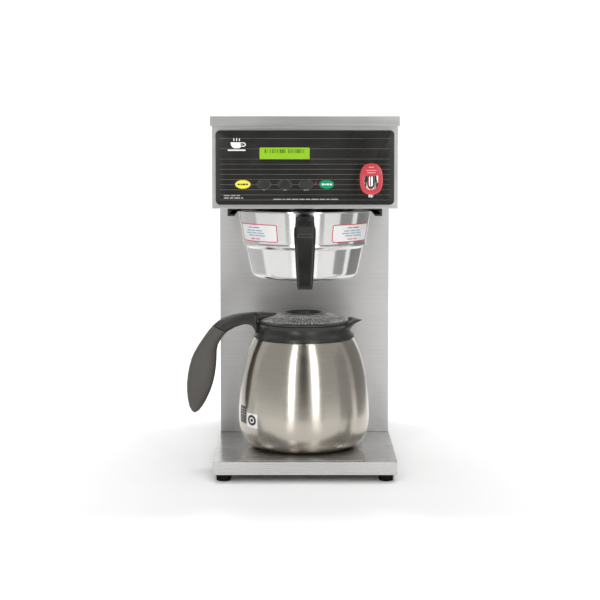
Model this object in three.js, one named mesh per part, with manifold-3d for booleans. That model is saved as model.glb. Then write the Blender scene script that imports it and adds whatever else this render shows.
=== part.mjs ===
// A single-station counter coffee brewer: stainless body, slide-out brew cone and steel carafe.
// Millimetres, +Z up. Modelled with the front at y = 0 facing -Y, then centred on its own base.
import * as THREE from 'three';
import { mergeVertices } from 'three/addons/utils/BufferGeometryUtils.js';
import Module from 'manifold-3d';

const wasm = await Module();
wasm.setup();

// Fits and stock
const GAP = 0.3;
const SHEET = 1.2;
const FINE = 32;
const MEDIUM = 20;
const COARSE = 12;

// Body
const BODY_WIDTH = 229;
const BODY_DEPTH = 432;
const HEAD_REACH = 200;
const HEAD_BOTTOM = 342.3;
const BODY_TOP = 454.8;
const COVER_BOTTOM = 444;
const COVER_TOP = 456.3;
const COVER_OVERHANG = 2.2;
const BASE_OVERHANG = 1;
const BASE_BOTTOM = 9.1;
const DECK_TOP = 25.8;
const PLATE_WIDTH = 151;
const RETURN = 12;

// Feet
const FOOT_X = 102;
const FOOT_FRONT_Y = 13;
const FOOT_REAR_Y = 419;

// Control panel
const PANEL_WIDTH = 220;
const PANEL_BOTTOM = 347.3;
const PANEL_TOP = 438.8;
const PANEL_FRONT = -3;
const WINDOW = { x0: -56.2, x1: 6.2, z0: 402.9, z1: 418.2 };
const KEY_Z = 372.4;
const KEY_TRAVEL = 0.8;
const KEYS = [
  { name: 'power_key', x: -76.5, width: 19, height: 10.8 },
  { name: 'batch_key_small', x: -50.5, width: 15.8, height: 10.8 },
  { name: 'batch_key_medium', x: -24.5, width: 15.8, height: 10.8 },
  { name: 'batch_key_large', x: 1.5, width: 15.8, height: 10.8 },
  { name: 'brew_key', x: 27, width: 18, height: 11.2 },
];

// Hot water faucet, around its own centre line
const FAUCET = { x: 80.5, y: -16, shankZ: 381, pivotZ: 393, outletZ: 357 };
const SHANK_R = 7.5;
const PIN_R = 1.5;
const PIN_HOLE_R = 1.8;

// Brew cone and its rails
const CONE_Y = 103;
const CONE_RIM_Z = 337;
const CONE_RIM_R = 92;
const RAIL = { inner: 84, leg: 93.5, outer: 96, lip: 87, lipTop: 334.7, bottom: 332.5 };
const CONE_HANDLE = { topWidth: 25.6, endWidth: 18.5, topZ: 333, endZ: 245 };

// Carafe
const CARAFE_X = -1;
const CARAFE_Y = 100;
const NECK_R = 55.5;
const COLLAR_TOP = 189;
const LID_R = 59.5;
const HANDLE_THICKNESS = 25;

// Water system
const TANK = { x: 90, y0: 222, y1: 402, z0: 110, z1: 345, flange: 6 };
const LID_Z = 347.1;
const LID_TOP = 349.1;
const ELEMENT_Y = 330;
const VALVE_Y = 245;
const PROBE_X = -50;
const INLET = { x: -66, z: 50 };
const GLAND = { x: 70, z: 50 };
const SCREW = { x: 104, low: 62, high: 428 };

const X = new THREE.Vector3(1, 0, 0);
const Y = new THREE.Vector3(0, 1, 0);
const Z = new THREE.Vector3(0, 0, 1);

// ---- Shapes

function box([x0, y0, z0], [x1, y1, z1]) {
  const geometry = new THREE.BoxGeometry(x1 - x0, y1 - y0, z1 - z0);
  return geometry.translate((x0 + x1) / 2, (y0 + y1) / 2, (z0 + z1) / 2);
}

function polygon(points) {
  return new THREE.Shape(points.map(([a, b]) => new THREE.Vector2(a, b)));
}

function oval(a, b, width, height, sides) {
  const points = [];
  for (let i = 0; i < sides; i += 1) {
    const angle = (2 * Math.PI * i) / sides;
    points.push([a + (width / 2) * Math.cos(angle), b + (height / 2) * Math.sin(angle)]);
  }
  return polygon(points);
}

function roundedRect(a0, b0, a1, b1, radius) {
  const shape = new THREE.Shape();
  shape.moveTo(a0 + radius, b0);
  shape.lineTo(a1 - radius, b0);
  shape.absarc(a1 - radius, b0 + radius, radius, -Math.PI / 2, 0);
  shape.lineTo(a1, b1 - radius);
  shape.absarc(a1 - radius, b1 - radius, radius, 0, Math.PI / 2);
  shape.lineTo(a0 + radius, b1);
  shape.absarc(a0 + radius, b1 - radius, radius, Math.PI / 2, Math.PI);
  shape.lineTo(a0, b0 + radius);
  shape.absarc(a0 + radius, b0 + radius, radius, Math.PI, 1.5 * Math.PI);
  return shape;
}

// Shape coordinates become (y, z) along x, (x, z) along y and (x, y) along z
function extrude(shape, axis, from, to) {
  const options = { depth: to - from, bevelEnabled: false, curveSegments: 2 };
  const place = new THREE.Matrix4();
  if (axis === 'x') place.makeBasis(Y, Z, X).setPosition(from, 0, 0);
  if (axis === 'y') place.makeBasis(X, Z, Y.clone().negate()).setPosition(0, to, 0);
  if (axis === 'z') place.setPosition(0, 0, from);
  return new THREE.ExtrudeGeometry(shape, options).applyMatrix4(place);
}

function latheAlongY(points, segments) {
  return new THREE.LatheGeometry(points.map(([r, y]) => new THREE.Vector2(r, y)), segments);
}

function latheAlongZ(points, segments) {
  return latheAlongY(points, segments).rotateX(Math.PI / 2);
}

function closed(points) {
  return [...points, points[0]];
}

function rod(radius, axis, from, to, sides = COARSE) {
  return extrude(oval(0, 0, 2 * radius, 2 * radius, sides), axis, from, to);
}

function tube(points, radius, steps) {
  const path = new THREE.CatmullRomCurve3(points.map((p) => new THREE.Vector3(...p)));
  const section = oval(0, 0, 2 * radius, 2 * radius, 8);
  return new THREE.ExtrudeGeometry(section, { steps, extrudePath: path, bevelEnabled: false });
}

// ---- Joining and cutting

function solid(geometry) {
  const bare = geometry.clone();
  bare.deleteAttribute('normal');
  bare.deleteAttribute('uv');
  const merged = mergeVertices(bare, 1e-4);
  const index = merged.index.array;
  const triangles = [];
  for (let i = 0; i < index.length; i += 3) {
    const [a, b, c] = [index[i], index[i + 1], index[i + 2]];
    if (a !== b && b !== c && a !== c) triangles.push(a, b, c);
  }
  const vertProperties = Float32Array.from(merged.attributes.position.array);
  const triVerts = Uint32Array.from(triangles);
  return new wasm.Manifold(new wasm.Mesh({ numProp: 3, vertProperties, triVerts }));
}

function geometryOf(manifold) {
  const mesh = manifold.getMesh();
  const geometry = new THREE.BufferGeometry();
  geometry.setAttribute('position', new THREE.BufferAttribute(mesh.vertProperties, 3));
  geometry.setIndex(new THREE.BufferAttribute(mesh.triVerts, 1));
  return geometry;
}

function join(first, ...others) {
  return geometryOf(others.reduce((body, other) => body.add(solid(other)), solid(first)));
}

function cut(first, ...tools) {
  return geometryOf(tools.reduce((body, tool) => body.subtract(solid(tool)), solid(first)));
}

// ---- Finishes

function finish(color, roughness, metalness) {
  return new THREE.MeshStandardMaterial({ color, roughness, metalness });
}

const brushedSteel = () => finish(0xc4c3c0, 0.34, 1);
const polishedSteel = () => finish(0xd0cfcc, 0.14, 1);
const carafeSteel = () => finish(0x9c978c, 0.3, 1);
const chrome = () => finish(0xdedede, 0.08, 1);
const brass = () => finish(0xb8974a, 0.3, 1);
const copper = () => finish(0xb4704a, 0.3, 1);
const blackPlastic = () => finish(0x17171a, 0.3, 0);
const panelFilm = () => finish(0x1c1d20, 0.35, 0);
const gripRubber = () => finish(0x4c4a48, 0.7, 0);
const footRubber = () => finish(0x1b1b1c, 0.8, 0);
const redPlastic = () => finish(0xd23048, 0.25, 0);
const yellowKey = () => finish(0xf2ea55, 0.4, 0);
const greenKey = () => finish(0x149468, 0.4, 0);
const displayLens = () => finish(0x96de1e, 0.15, 0);
const silicone = () => finish(0xd8d2c6, 0.6, 0);
const circuitGreen = () => finish(0x1d5a3a, 0.5, 0);
const blackEnamel = () => finish(0x141415, 0.4, 0.3);

function piece(name, geometry, material, [x, y, z] = [0, 0, 0]) {
  const mesh = new THREE.Mesh(geometry, material);
  mesh.name = name;
  mesh.position.set(x, y, z);
  return mesh;
}

// ---- Sheet metal body

function basePan() {
  const half = BODY_WIDTH / 2 + BASE_OVERHANG;
  const front = -BASE_OVERHANG;
  const back = BODY_DEPTH + BASE_OVERHANG;
  const flange = 27;
  const outer = box([-half, front, BASE_BOTTOM], [half, back, DECK_TOP]);
  const hollow = box(
    [-half + SHEET, front + SHEET, BASE_BOTTOM + SHEET],
    [half - SHEET, back - SHEET, DECK_TOP - SHEET],
  );
  const mouth = box([-half + flange, front + flange, 0], [half - flange, back - flange, BASE_BOTTOM + 5]);
  const holes = footPlaces().map(([x, y]) => rod(4.2, 'z', 0, BASE_BOTTOM + 5).translate(x, y, 0));
  return piece('base_pan', cut(outer, hollow, mouth, ...holes), brushedSteel());
}

function serverPlate() {
  const half = PLATE_WIDTH / 2;
  const shape = roundedRect(-half, 1, half, 192, 5);
  return piece('server_plate', extrude(shape, 'z', DECK_TOP + GAP, DECK_TOP + GAP + SHEET), brushedSteel());
}

function footPlaces() {
  return [
    [-FOOT_X, FOOT_FRONT_Y, 'front_left'],
    [FOOT_X, FOOT_FRONT_Y, 'front_right'],
    [-FOOT_X, FOOT_REAR_Y, 'rear_left'],
    [FOOT_X, FOOT_REAR_Y, 'rear_right'],
  ];
}

function feet() {
  const pad = BASE_BOTTOM - GAP;
  const profile = [[0, 0], [8.3, 0], [9, 0.8], [9.8, pad], [3.5, pad], [3.5, 16], [0, 16]];
  return footPlaces().map(([x, y, place]) => (
    piece(`foot_${place}`, latheAlongZ(profile, COARSE), footRubber(), [x, y, 0])
  ));
}

function sidePanel(name, side) {
  const front = SHEET + GAP;
  const column = HEAD_REACH + SHEET + GAP;
  const back = BODY_DEPTH - SHEET - GAP;
  const foot = DECK_TOP + GAP;
  const outline = polygon([
    [front, HEAD_BOTTOM],
    [front, BODY_TOP],
    [back, BODY_TOP],
    [back, foot],
    [column, foot],
    [column, HEAD_BOTTOM],
  ]);
  const middle = side * (BODY_WIDTH / 2 - SHEET / 2);
  return piece(name, extrude(outline, 'x', -SHEET / 2, SHEET / 2), brushedSteel(), [middle, 0, 0]);
}

function columnFrontPanel() {
  const half = BODY_WIDTH / 2;
  const low = DECK_TOP + GAP;
  const high = HEAD_BOTTOM - GAP;
  const face = box([-half, HEAD_REACH, low], [half, HEAD_REACH + SHEET, high]);
  const edge = half - SHEET - GAP;
  const flange = box([-edge, HEAD_REACH + SHEET / 2, low], [-edge + SHEET, HEAD_REACH + RETURN, high]);
  const mirrored = flange.clone().translate(2 * edge - SHEET, 0, 0);
  return piece('column_front_panel', join(face, flange, mirrored), brushedSteel());
}

function screwPlaces() {
  return [
    [-SCREW.x, SCREW.low],
    [SCREW.x, SCREW.low],
    [-SCREW.x, SCREW.high],
    [SCREW.x, SCREW.high],
  ];
}

function backPanel() {
  const half = BODY_WIDTH / 2;
  const inside = BODY_DEPTH - SHEET;
  const sheet = box([-half, inside, DECK_TOP + GAP], [half, BODY_DEPTH, BODY_TOP]);
  const through = (radius, x, z) => rod(radius, 'y', inside - 5, BODY_DEPTH + 5).translate(x, 0, z);
  const screws = screwPlaces().map(([x, z]) => through(2.5, x, z));
  const gland = through(9.6, GLAND.x, GLAND.z);
  const inlet = through(7, INLET.x, INLET.z);
  return piece('back_panel', cut(sheet, gland, inlet, ...screws), brushedSteel());
}

function backPanelScrews() {
  const face = BODY_DEPTH + GAP;
  const profile = [[0, face - 7], [2, face - 7], [2, face], [4, face], [4, face + 1.2], [2.6, face + 2]];
  profile.push([0, face + 2]);
  return screwPlaces().map(([x, z], i) => (
    piece(`back_screw_${i + 1}`, latheAlongY(profile, 10), chrome(), [x, 0, z])
  ));
}

function headFrontPanel() {
  const half = BODY_WIDTH / 2;
  const edge = half - SHEET - GAP;
  const face = box([-half, 0, HEAD_BOTTOM], [half, SHEET, BODY_TOP]);
  const lower = box([-edge, SHEET / 2, HEAD_BOTTOM], [edge, RETURN, HEAD_BOTTOM + SHEET]);
  const upper = box([-edge, SHEET / 2, BODY_TOP - SHEET], [edge, RETURN, BODY_TOP]);
  const display = box([WINDOW.x0 - 2, -5, WINDOW.z0 - 2], [WINDOW.x1 + 2, 5, WINDOW.z1 + 2]);
  const shank = rod(SHANK_R + 1, 'y', -5, 5).translate(FAUCET.x, 0, FAUCET.shankZ);
  return piece('head_front_panel', cut(join(face, lower, upper), display, shank), brushedSteel());
}

function headUndersidePanel() {
  const half = BODY_WIDTH / 2 - SHEET - GAP;
  const sheet = box([-half, RETURN + GAP, HEAD_BOTTOM], [half, HEAD_REACH + RETURN, HEAD_BOTTOM + SHEET]);
  const hole = rod(8, 'z', HEAD_BOTTOM - 5, HEAD_BOTTOM + 5).translate(0, CONE_Y, 0);
  return piece('head_underside_panel', cut(sheet, hole), brushedSteel());
}

function topCover() {
  const half = BODY_WIDTH / 2 + COVER_OVERHANG;
  const front = -COVER_OVERHANG;
  const back = BODY_DEPTH + COVER_OVERHANG;
  const outer = box([-half, front, COVER_BOTTOM], [half, back, COVER_TOP]);
  const hollow = box(
    [-half + SHEET, front + SHEET, COVER_BOTTOM - 5],
    [half - SHEET, back - SHEET, COVER_TOP - SHEET],
  );
  return piece('top_cover', cut(outer, hollow), brushedSteel());
}

// ---- Control panel

function controlOverlay() {
  const half = PANEL_WIDTH / 2;
  const shape = roundedRect(-half, PANEL_BOTTOM, half, PANEL_TOP, 6);
  shape.holes.push(roundedRect(WINDOW.x0, WINDOW.z0, WINDOW.x1, WINDOW.z1, 1.2));
  for (const key of KEYS) {
    shape.holes.push(oval(key.x, KEY_Z, key.width + 0.9, key.height + 0.9, COARSE));
  }
  shape.holes.push(oval(FAUCET.x, FAUCET.shankZ, 2 * SHANK_R + 2, 2 * SHANK_R + 2, COARSE));
  return piece('control_overlay', extrude(shape, 'y', PANEL_FRONT, -GAP), panelFilm());
}

function displayWindow() {
  const inset = 0.4;
  const shape = roundedRect(
    WINDOW.x0 + inset,
    WINDOW.z0 + inset,
    WINDOW.x1 - inset,
    WINDOW.z1 - inset,
    1,
  );
  return piece('display_window', extrude(shape, 'y', PANEL_FRONT + 0.5, -0.5), displayLens());
}

function displayModule() {
  const block = box([WINDOW.x0 - 1.5, 0, WINDOW.z0 - 1.5], [WINDOW.x1 + 1.5, 9, WINDOW.z1 + 1.5]);
  return piece('display_module', block, circuitGreen());
}

function controlBoard() {
  const board = box([-100, 16, 350], [60, 17.6, 436]);
  const relay = box([-90, 17, 360], [-60, 35, 385]);
  const transformer = box([-40, 17, 358], [-5, 45, 390]);
  const connector = box([20, 17, 355], [50, 28, 365]);
  return piece('control_board', join(board, relay, transformer, connector), circuitGreen());
}

function keyCaps() {
  const finishes = [yellowKey, panelFilm, panelFilm, panelFilm, greenKey];
  const front = PANEL_FRONT - 0.8;
  const back = -GAP - 0.4 - KEY_TRAVEL;
  return KEYS.map((key, i) => {
    const cap = extrude(oval(0, 0, key.width, key.height, COARSE), 'y', front, back);
    return piece(key.name, cap, finishes[i](), [key.x, 0, KEY_Z]);
  });
}

// ---- Hot water faucet, each solid around the faucet's own centre line

function faucetBody() {
  const shank = rod(SHANK_R, 'y', 0, 46 + FAUCET.y).translate(0, 0, FAUCET.shankZ);
  const collarFront = PANEL_FRONT - 3 - FAUCET.y;
  const collar = rod(11, 'y', collarFront, collarFront + 2.6, MEDIUM).translate(0, 0, FAUCET.shankZ);
  const barrel = latheAlongZ([
    [0, FAUCET.outletZ],
    [3.5, FAUCET.outletZ],
    [3.5, 364],
    [6.5, 368],
    [7.5, 372],
    [7.5, 385.5],
    [5, 387.5],
    [0, 387.5],
  ], COARSE);
  const lug = box([-3, -3.5, 386], [3, 3.5, 396.5]);
  const hole = rod(PIN_HOLE_R, 'x', -5, 5, 10).translate(0, 0, FAUCET.pivotZ);
  const body = cut(join(shank, collar, barrel, lug), hole);
  return piece('faucet_body', body, chrome());
}

function faucetNut() {
  const hexagon = oval(0, 0, 25, 25, 6);
  hexagon.holes.push(oval(0, 0, 2 * SHANK_R + 0.8, 2 * SHANK_R + 0.8, COARSE));
  const from = SHEET + GAP - FAUCET.y;
  return piece('faucet_nut', extrude(hexagon, 'y', from, from + 6), brass(), [0, 0, FAUCET.shankZ]);
}

function faucetPin() {
  const pin = rod(PIN_R, 'x', -8.2, 8.2, 10);
  return piece('faucet_lever_pin', pin, chrome(), [0, 0, FAUCET.pivotZ]);
}

function faucetLever() {
  const front = -17;
  const back = -10;
  const loop = roundedRect(-13.8, 361, 13.8, 399, 11.5);
  loop.holes.push(roundedRect(-8.5, 367, 8.5, 384, 6));
  const plate = extrude(loop, 'y', front, back);
  const cheek = box([3.7, back - 1, 390], [7.7, 3, 396.5]);
  const otherCheek = box([-7.7, back - 1, 390], [-3.7, 3, 396.5]);
  const hole = rod(PIN_HOLE_R, 'x', -10, 10, 10).translate(0, 0, FAUCET.pivotZ);
  return piece('faucet_lever', cut(join(plate, cheek, otherCheek), hole), redPlastic());
}

function faucet() {
  const group = new THREE.Group();
  group.position.set(FAUCET.x, FAUCET.y, 0);
  group.add(faucetBody(), faucetNut(), faucetPin(), faucetLever());
  return group;
}

// ---- Brew cone, its rails and the spray head above it

function rail(name, side) {
  const outline = polygon([
    [side * RAIL.outer, RAIL.bottom],
    [side * RAIL.outer, HEAD_BOTTOM - GAP],
    [side * RAIL.inner, HEAD_BOTTOM - GAP],
    [side * RAIL.inner, HEAD_BOTTOM - 2],
    [side * RAIL.leg, HEAD_BOTTOM - 2],
    [side * RAIL.leg, RAIL.lipTop],
    [side * RAIL.lip, RAIL.lipTop],
    [side * RAIL.lip, RAIL.bottom],
  ]);
  return piece(name, extrude(outline, 'y', 10, 190), blackEnamel());
}

function sprayHead() {
  const top = HEAD_BOTTOM - GAP;
  const profile = [[0, 338], [33, 338], [34, 338.8], [34, 340.2], [12, top], [5, top], [5, 352], [0, 352]];
  return piece('spray_head', latheAlongZ(profile, MEDIUM), silicone(), [0, CONE_Y, 0]);
}

function coneShell() {
  const outer = [
    [5.5, 241.8],
    [6.5, 245.5],
    [40, 245.8],
    [41, 247.6],
    [58, 248],
    [63.4, 249.8],
    [69.6, 261],
    [75.2, 287.4],
    [79, 292.3],
    [85.5, 333],
    [85.8, CONE_RIM_Z - 1.9],
    [CONE_RIM_R, CONE_RIM_Z - 1.9],
    [CONE_RIM_R, CONE_RIM_Z],
  ];
  const inner = [
    [84.4, CONE_RIM_Z],
    [84.3, 333],
    [77.8, 292.9],
    [74, 288],
    [68.4, 261.6],
    [62.4, 251],
    [57, 249.3],
    [39, 248.9],
    [4, 248.7],
    [4, 241.8],
  ];
  return piece('cone_shell', latheAlongZ(closed([...outer, ...inner]), FINE), polishedSteel());
}

function filterBasket() {
  const top = 331;
  const profile = closed([
    [20, 254],
    [52, 254],
    [80.8, top],
    [79.6, top],
    [51.2, 255.2],
    [20, 255.2],
  ]);
  return piece('filter_basket', latheAlongZ(profile, FINE), polishedSteel());
}

// The grip narrows towards its lower end
function narrow(geometry) {
  const position = geometry.attributes.position;
  const { topWidth, endWidth, topZ, endZ } = CONE_HANDLE;
  for (let i = 0; i < position.count; i += 1) {
    const share = (topZ - position.getZ(i)) / (topZ - endZ);
    position.setX(i, position.getX(i) * (1 - share * (1 - endWidth / topWidth)));
  }
  return geometry;
}

function coneHandle() {
  const outline = polygon([
    [16.9, 333],
    [1, 332.6],
    [-8, 328.5],
    [-14, 321],
    [-44, 253],
    [-44.6, 248.4],
    [-41, 245],
    [-36.4, 246],
    [-4, 311],
    [3, 319],
    [18.8, 321],
  ]);
  const half = CONE_HANDLE.topWidth / 2;
  const handle = narrow(extrude(outline, 'x', -half, half));
  return piece('cone_handle', handle, blackPlastic(), [0, -CONE_Y, 0]);
}

function brewCone() {
  const group = new THREE.Group();
  group.position.set(0, CONE_Y, 0);
  group.add(coneShell(), filterBasket(), coneHandle());
  return group;
}

// ---- Carafe, each solid around the carafe's own centre line

function carafeVessel() {
  const outer = [
    [0, 30.2],
    [57.6, 30.2],
    [58.5, 27.9],
    [60, 27.6],
    [69.6, 30.3],
    [78.6, 39.6],
    [84.3, 57],
    [84.9, 78],
    [81.4, 113.2],
    [73.8, 147.8],
    [64, 169.9],
    [62, 171.6],
    [NECK_R, 173.6],
    [NECK_R, 184],
  ];
  const inner = [
    [52.5, 184],
    [52.5, 173.6],
    [60.9, 167],
    [70.6, 146.6],
    [78.2, 112.8],
    [81.7, 78],
    [80.9, 57.6],
    [74.5, 42.2],
    [65.5, 33.4],
    [0, 33.4],
  ];
  return piece('carafe_vessel', latheAlongZ([...outer, ...inner], FINE), carafeSteel());
}

function carafeBasePad() {
  const profile = [[0, 28.4], [56.4, 28.4], [57, 29], [57, 29.9], [0, 29.9]];
  return piece('carafe_base_pad', latheAlongZ(profile, MEDIUM), footRubber());
}

// Pouring lip: wide at its root, pointed at its tip, falling to the tip and sloping in underneath
function spout(inset, from, to, slope) {
  const fall = 0.09;
  const outline = polygon([
    [45, -25 + inset],
    [66 - inset, -14 + inset],
    [76 - inset, -4 + inset * 0.4],
    [76 - inset, 4 - inset * 0.4],
    [66 - inset, 14 - inset],
    [45, 25 - inset],
  ]);
  const block = extrude(outline, 'z', from, to);
  const position = block.attributes.position;
  for (let i = 0; i < position.count; i += 1) {
    if (position.getZ(i) < (from + to) / 2) {
      position.setX(i, 45 + (position.getX(i) - 45) * slope);
    } else {
      position.setZ(i, to - (position.getX(i) - 45) * fall);
    }
  }
  return block;
}

function carafeCollar() {
  const ring = latheAlongZ(closed([
    [64.6, 170.3],
    [65.6, 171],
    [65.4, 173],
    [61.2, 177.5],
    [58.4, 182.5],
    [60, 187.5],
    [60, COLLAR_TOP],
    [56, COLLAR_TOP],
    [56, 174.2],
    [62.4, 172],
  ]), FINE);
  const lip = spout(0, 180, 195.6, 0.5);
  const channel = spout(3, 186, 200, 0.8);
  const bore = rod(56.1, 'z', 160, 210, FINE);
  const lidRoom = rod(LID_R + 0.8, 'z', COLLAR_TOP - 0.1, 210, FINE);
  return piece('carafe_collar', join(ring, cut(lip, channel, bore, lidRoom)), blackPlastic());
}

function handleArm() {
  const outline = polygon([
    [-61.6, 179],
    [-61.6, 202],
    [-78, 200.8],
    [-92.8, 198.7],
    [-105.9, 194.4],
    [-117.6, 185.8],
    [-99.6, 177.2],
    [-92, 181.5],
    [-84.2, 184.6],
    [-72, 186.6],
    [-66, 184],
  ]);
  const half = HANDLE_THICKNESS / 2;
  return piece('carafe_handle_arm', extrude(outline, 'y', -half, half), blackPlastic());
}

function handleGrip() {
  const outline = polygon([
    [-117.8, 185.4],
    [-131.9, 167.4],
    [-142.7, 150],
    [-149.1, 132.7],
    [-152.9, 108.9],
    [-151.8, 89.5],
    [-149.1, 77.5],
    [-142.7, 70.4],
    [-136.1, 73.2],
    [-127.6, 87.3],
    [-120, 104.6],
    [-115.5, 121.8],
    [-113.8, 141.4],
    [-113.5, 156.5],
    [-108, 167.4],
    [-99.8, 176.8],
  ]);
  const half = HANDLE_THICKNESS / 2;
  return piece('carafe_grip', extrude(outline, 'y', -half, half), gripRubber());
}

function lidBody() {
  const rim = 202.6;
  const disc = latheAlongZ(closed([
    [8, 176],
    [50.8, 176],
    [50.8, 178.4],
    [49.4, 178.4],
    [49.4, 181.6],
    [50.8, 181.6],
    [50.8, 184.6],
    [55.5, 184.6],
    [55.5, COLLAR_TOP + 0.4],
    [LID_R, COLLAR_TOP + 0.4],
    [LID_R, 192.5],
    [52, 195.5],
    [29.5, 201.9],
    [28, rim],
    [25, rim],
    [23, 200.8],
    [23, 195],
    [10, 190],
  ]), FINE);
  const tab = box([-58, -9, 191], [-34, 9, 202]);
  return piece('lid_body', join(disc, tab), blackPlastic());
}

function lidGrate() {
  const disc = oval(0, 0, 45, 45, MEDIUM);
  disc.holes.push(oval(0, 0, 9, 9, 10));
  const holes = 6;
  for (let i = 0; i < holes; i += 1) {
    const angle = (2 * Math.PI * i) / holes;
    disc.holes.push(oval(13 * Math.cos(angle), 13 * Math.sin(angle), 9, 9, 10));
  }
  return piece('lid_grate', extrude(disc, 'z', 195.4, 197.4), blackPlastic());
}

function lidGasket() {
  const profile = closed([[49.7, 178.7], [52.1, 178.7], [52.1, 181.3], [49.7, 181.3]]);
  return piece('lid_gasket', latheAlongZ(profile, FINE), silicone());
}

function carafe() {
  const group = new THREE.Group();
  group.position.set(CARAFE_X, CARAFE_Y, 0);
  group.add(carafeVessel(), carafeBasePad(), carafeCollar(), handleArm(), handleGrip());
  group.add(lidBody(), lidGrate(), lidGasket());
  return group;
}

// ---- Water system inside the column and head

function tankOutline() {
  const { x, y0, y1, flange } = TANK;
  return [-x - flange, y0 - flange, x + flange, y1 + flange];
}

function waterTank() {
  const { x, y0, y1, z0, z1 } = TANK;
  const [left, front, right, back] = tankOutline();
  const shell = box([-x, y0, z0], [x, y1, z1]);
  const flange = box([left, front, z1 - SHEET], [right, back, z1]);
  const hollow = box([-x + SHEET, y0 + SHEET, z0 + SHEET], [x - SHEET, y1 - SHEET, z1 + 5]);
  return piece('water_tank', cut(join(shell, flange), hollow), brushedSteel());
}

function tankGasket() {
  const [left, front, right, back] = tankOutline();
  const { x, y0, y1 } = TANK;
  const frame = roundedRect(left, front, right, back, 1);
  frame.holes.push(roundedRect(-x + 1, y0 + 1, x - 1, y1 - 1, 1));
  return piece('tank_gasket', extrude(frame, 'z', TANK.z1 + GAP, LID_Z - GAP), silicone());
}

function tankLid() {
  const [left, front, right, back] = tankOutline();
  const plate = roundedRect(left, front, right, back, 3);
  plate.holes.push(oval(0, ELEMENT_Y, 36, 36, COARSE));
  plate.holes.push(oval(0, VALVE_Y, 14, 14, COARSE));
  plate.holes.push(oval(PROBE_X, 300, 6.4, 6.4, 10));
  plate.holes.push(oval(PROBE_X, 350, 6.4, 6.4, 10));
  return piece('tank_lid', extrude(plate, 'z', LID_Z, LID_TOP), brushedSteel());
}

function heatingElement() {
  const seat = LID_TOP + GAP;
  const flange = rod(22, 'z', seat, seat + 7.6, MEDIUM);
  const low = 125;
  const loop = tube([
    [-10, 0, seat + 4],
    [-10, 0, 250],
    [-10, 0, low + 10],
    [-7, 0, low - 3],
    [0, 0, low - 8],
    [7, 0, low - 3],
    [10, 0, low + 10],
    [10, 0, 250],
    [10, 0, seat + 4],
  ], 4, 24);
  return piece('heating_element', join(flange, loop), copper(), [0, ELEMENT_Y, 0]);
}

function probe(name, y, tipZ) {
  const seat = LID_TOP + GAP;
  const profile = [[0, tipZ], [2.6, tipZ], [2.6, seat], [6, seat], [6, seat + 7], [3, seat + 12], [0, seat + 12]];
  return piece(name, latheAlongZ(profile, 10), chrome(), [PROBE_X, y, 0]);
}

function dumpValve() {
  const seat = LID_TOP + GAP;
  const body = latheAlongZ([
    [0, 335],
    [6.4, 335],
    [6.4, seat],
    [14, seat],
    [14, 375],
    [4, 375],
    [4, 356],
    [0, 356],
  ], COARSE);
  const coil = latheAlongZ([
    [4, 375.3],
    [16, 375.3],
    [16, 402],
    [0, 402],
    [0, 400.2],
    [4, 400.2],
    [4, 375.3],
  ], COARSE);
  const plunger = latheAlongZ([[0, 356.4], [3.4, 356.4], [3.4, 396.4], [0, 396.4]], 10);
  const place = [0, VALVE_Y, 0];
  return [
    piece('dump_valve_body', body, brass(), place),
    piece('dump_valve_coil', coil, blackPlastic(), place),
    piece('dump_valve_plunger', plunger, chrome(), place),
  ];
}

function sprayTube() {
  const z = 366;
  const path = [
    [0, VALVE_Y - 14 - GAP, z],
    [0, 200, z],
    [0, 150, z],
    [0, CONE_Y + 14, z],
    [0, CONE_Y + 3, z - 3],
    [0, CONE_Y, z - 10],
    [0, CONE_Y, 352 + GAP],
  ];
  return piece('spray_tube', tube(path, 6, 16), silicone());
}

function faucetTube() {
  const z = FAUCET.shankZ;
  const path = [
    [FAUCET.x, 30 + GAP, z],
    [FAUCET.x, 120, z],
    [FAUCET.x, 230, z],
    [74, 285, z - 2],
    [70, 300, z - 12],
    [70, 300, LID_TOP + 1],
  ];
  return piece('faucet_tube', tube(path, 5, 18), silicone());
}

function inletParts() {
  const { x, z } = INLET;
  const body = box([x - 14, 380, z - 10], [x + 14, 408, z + 10]);
  const coil = box([x - 11, 383, z + 9], [x + 11, 405, z + 38]);
  const face = BODY_DEPTH + GAP;
  const fitting = latheAlongY([
    [0, 408.3],
    [6.5, 408.3],
    [6.5, face],
    [9, face],
    [9, face + 7],
    [5, face + 7],
    [5, face + 14],
    [0, face + 14],
  ], COARSE);
  const pipe = tube([
    [x, 379.7, z],
    [x, 345, z],
    [x, 322, z + 8],
    [x, 312, z + 28],
    [x, 310, TANK.z0 - GAP],
  ], 4.5, 14);
  return [
    piece('inlet_valve', join(body, coil), brass()),
    piece('inlet_fitting', fitting, brass(), [x, 0, z]),
    piece('inlet_tube', pipe, copper()),
  ];
}

function limitThermostat() {
  const disc = rod(12, 'x', TANK.x + GAP, TANK.x + GAP + 8);
  return piece('limit_thermostat', disc, blackPlastic(), [0, 300, 250]);
}

function cordGland() {
  const face = BODY_DEPTH + GAP;
  const profile = closed([
    [4.5, face - 8],
    [9, face - 8],
    [9, face],
    [14, face],
    [14, face + 5],
    [9, face + 8],
    [7.5, face + 13],
    [4.5, face + 13],
  ]);
  return piece('cord_gland', latheAlongY(profile, MEDIUM), blackPlastic(), [GLAND.x, 0, GLAND.z]);
}

// ---- Whole brewer, centred on its own base

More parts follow.
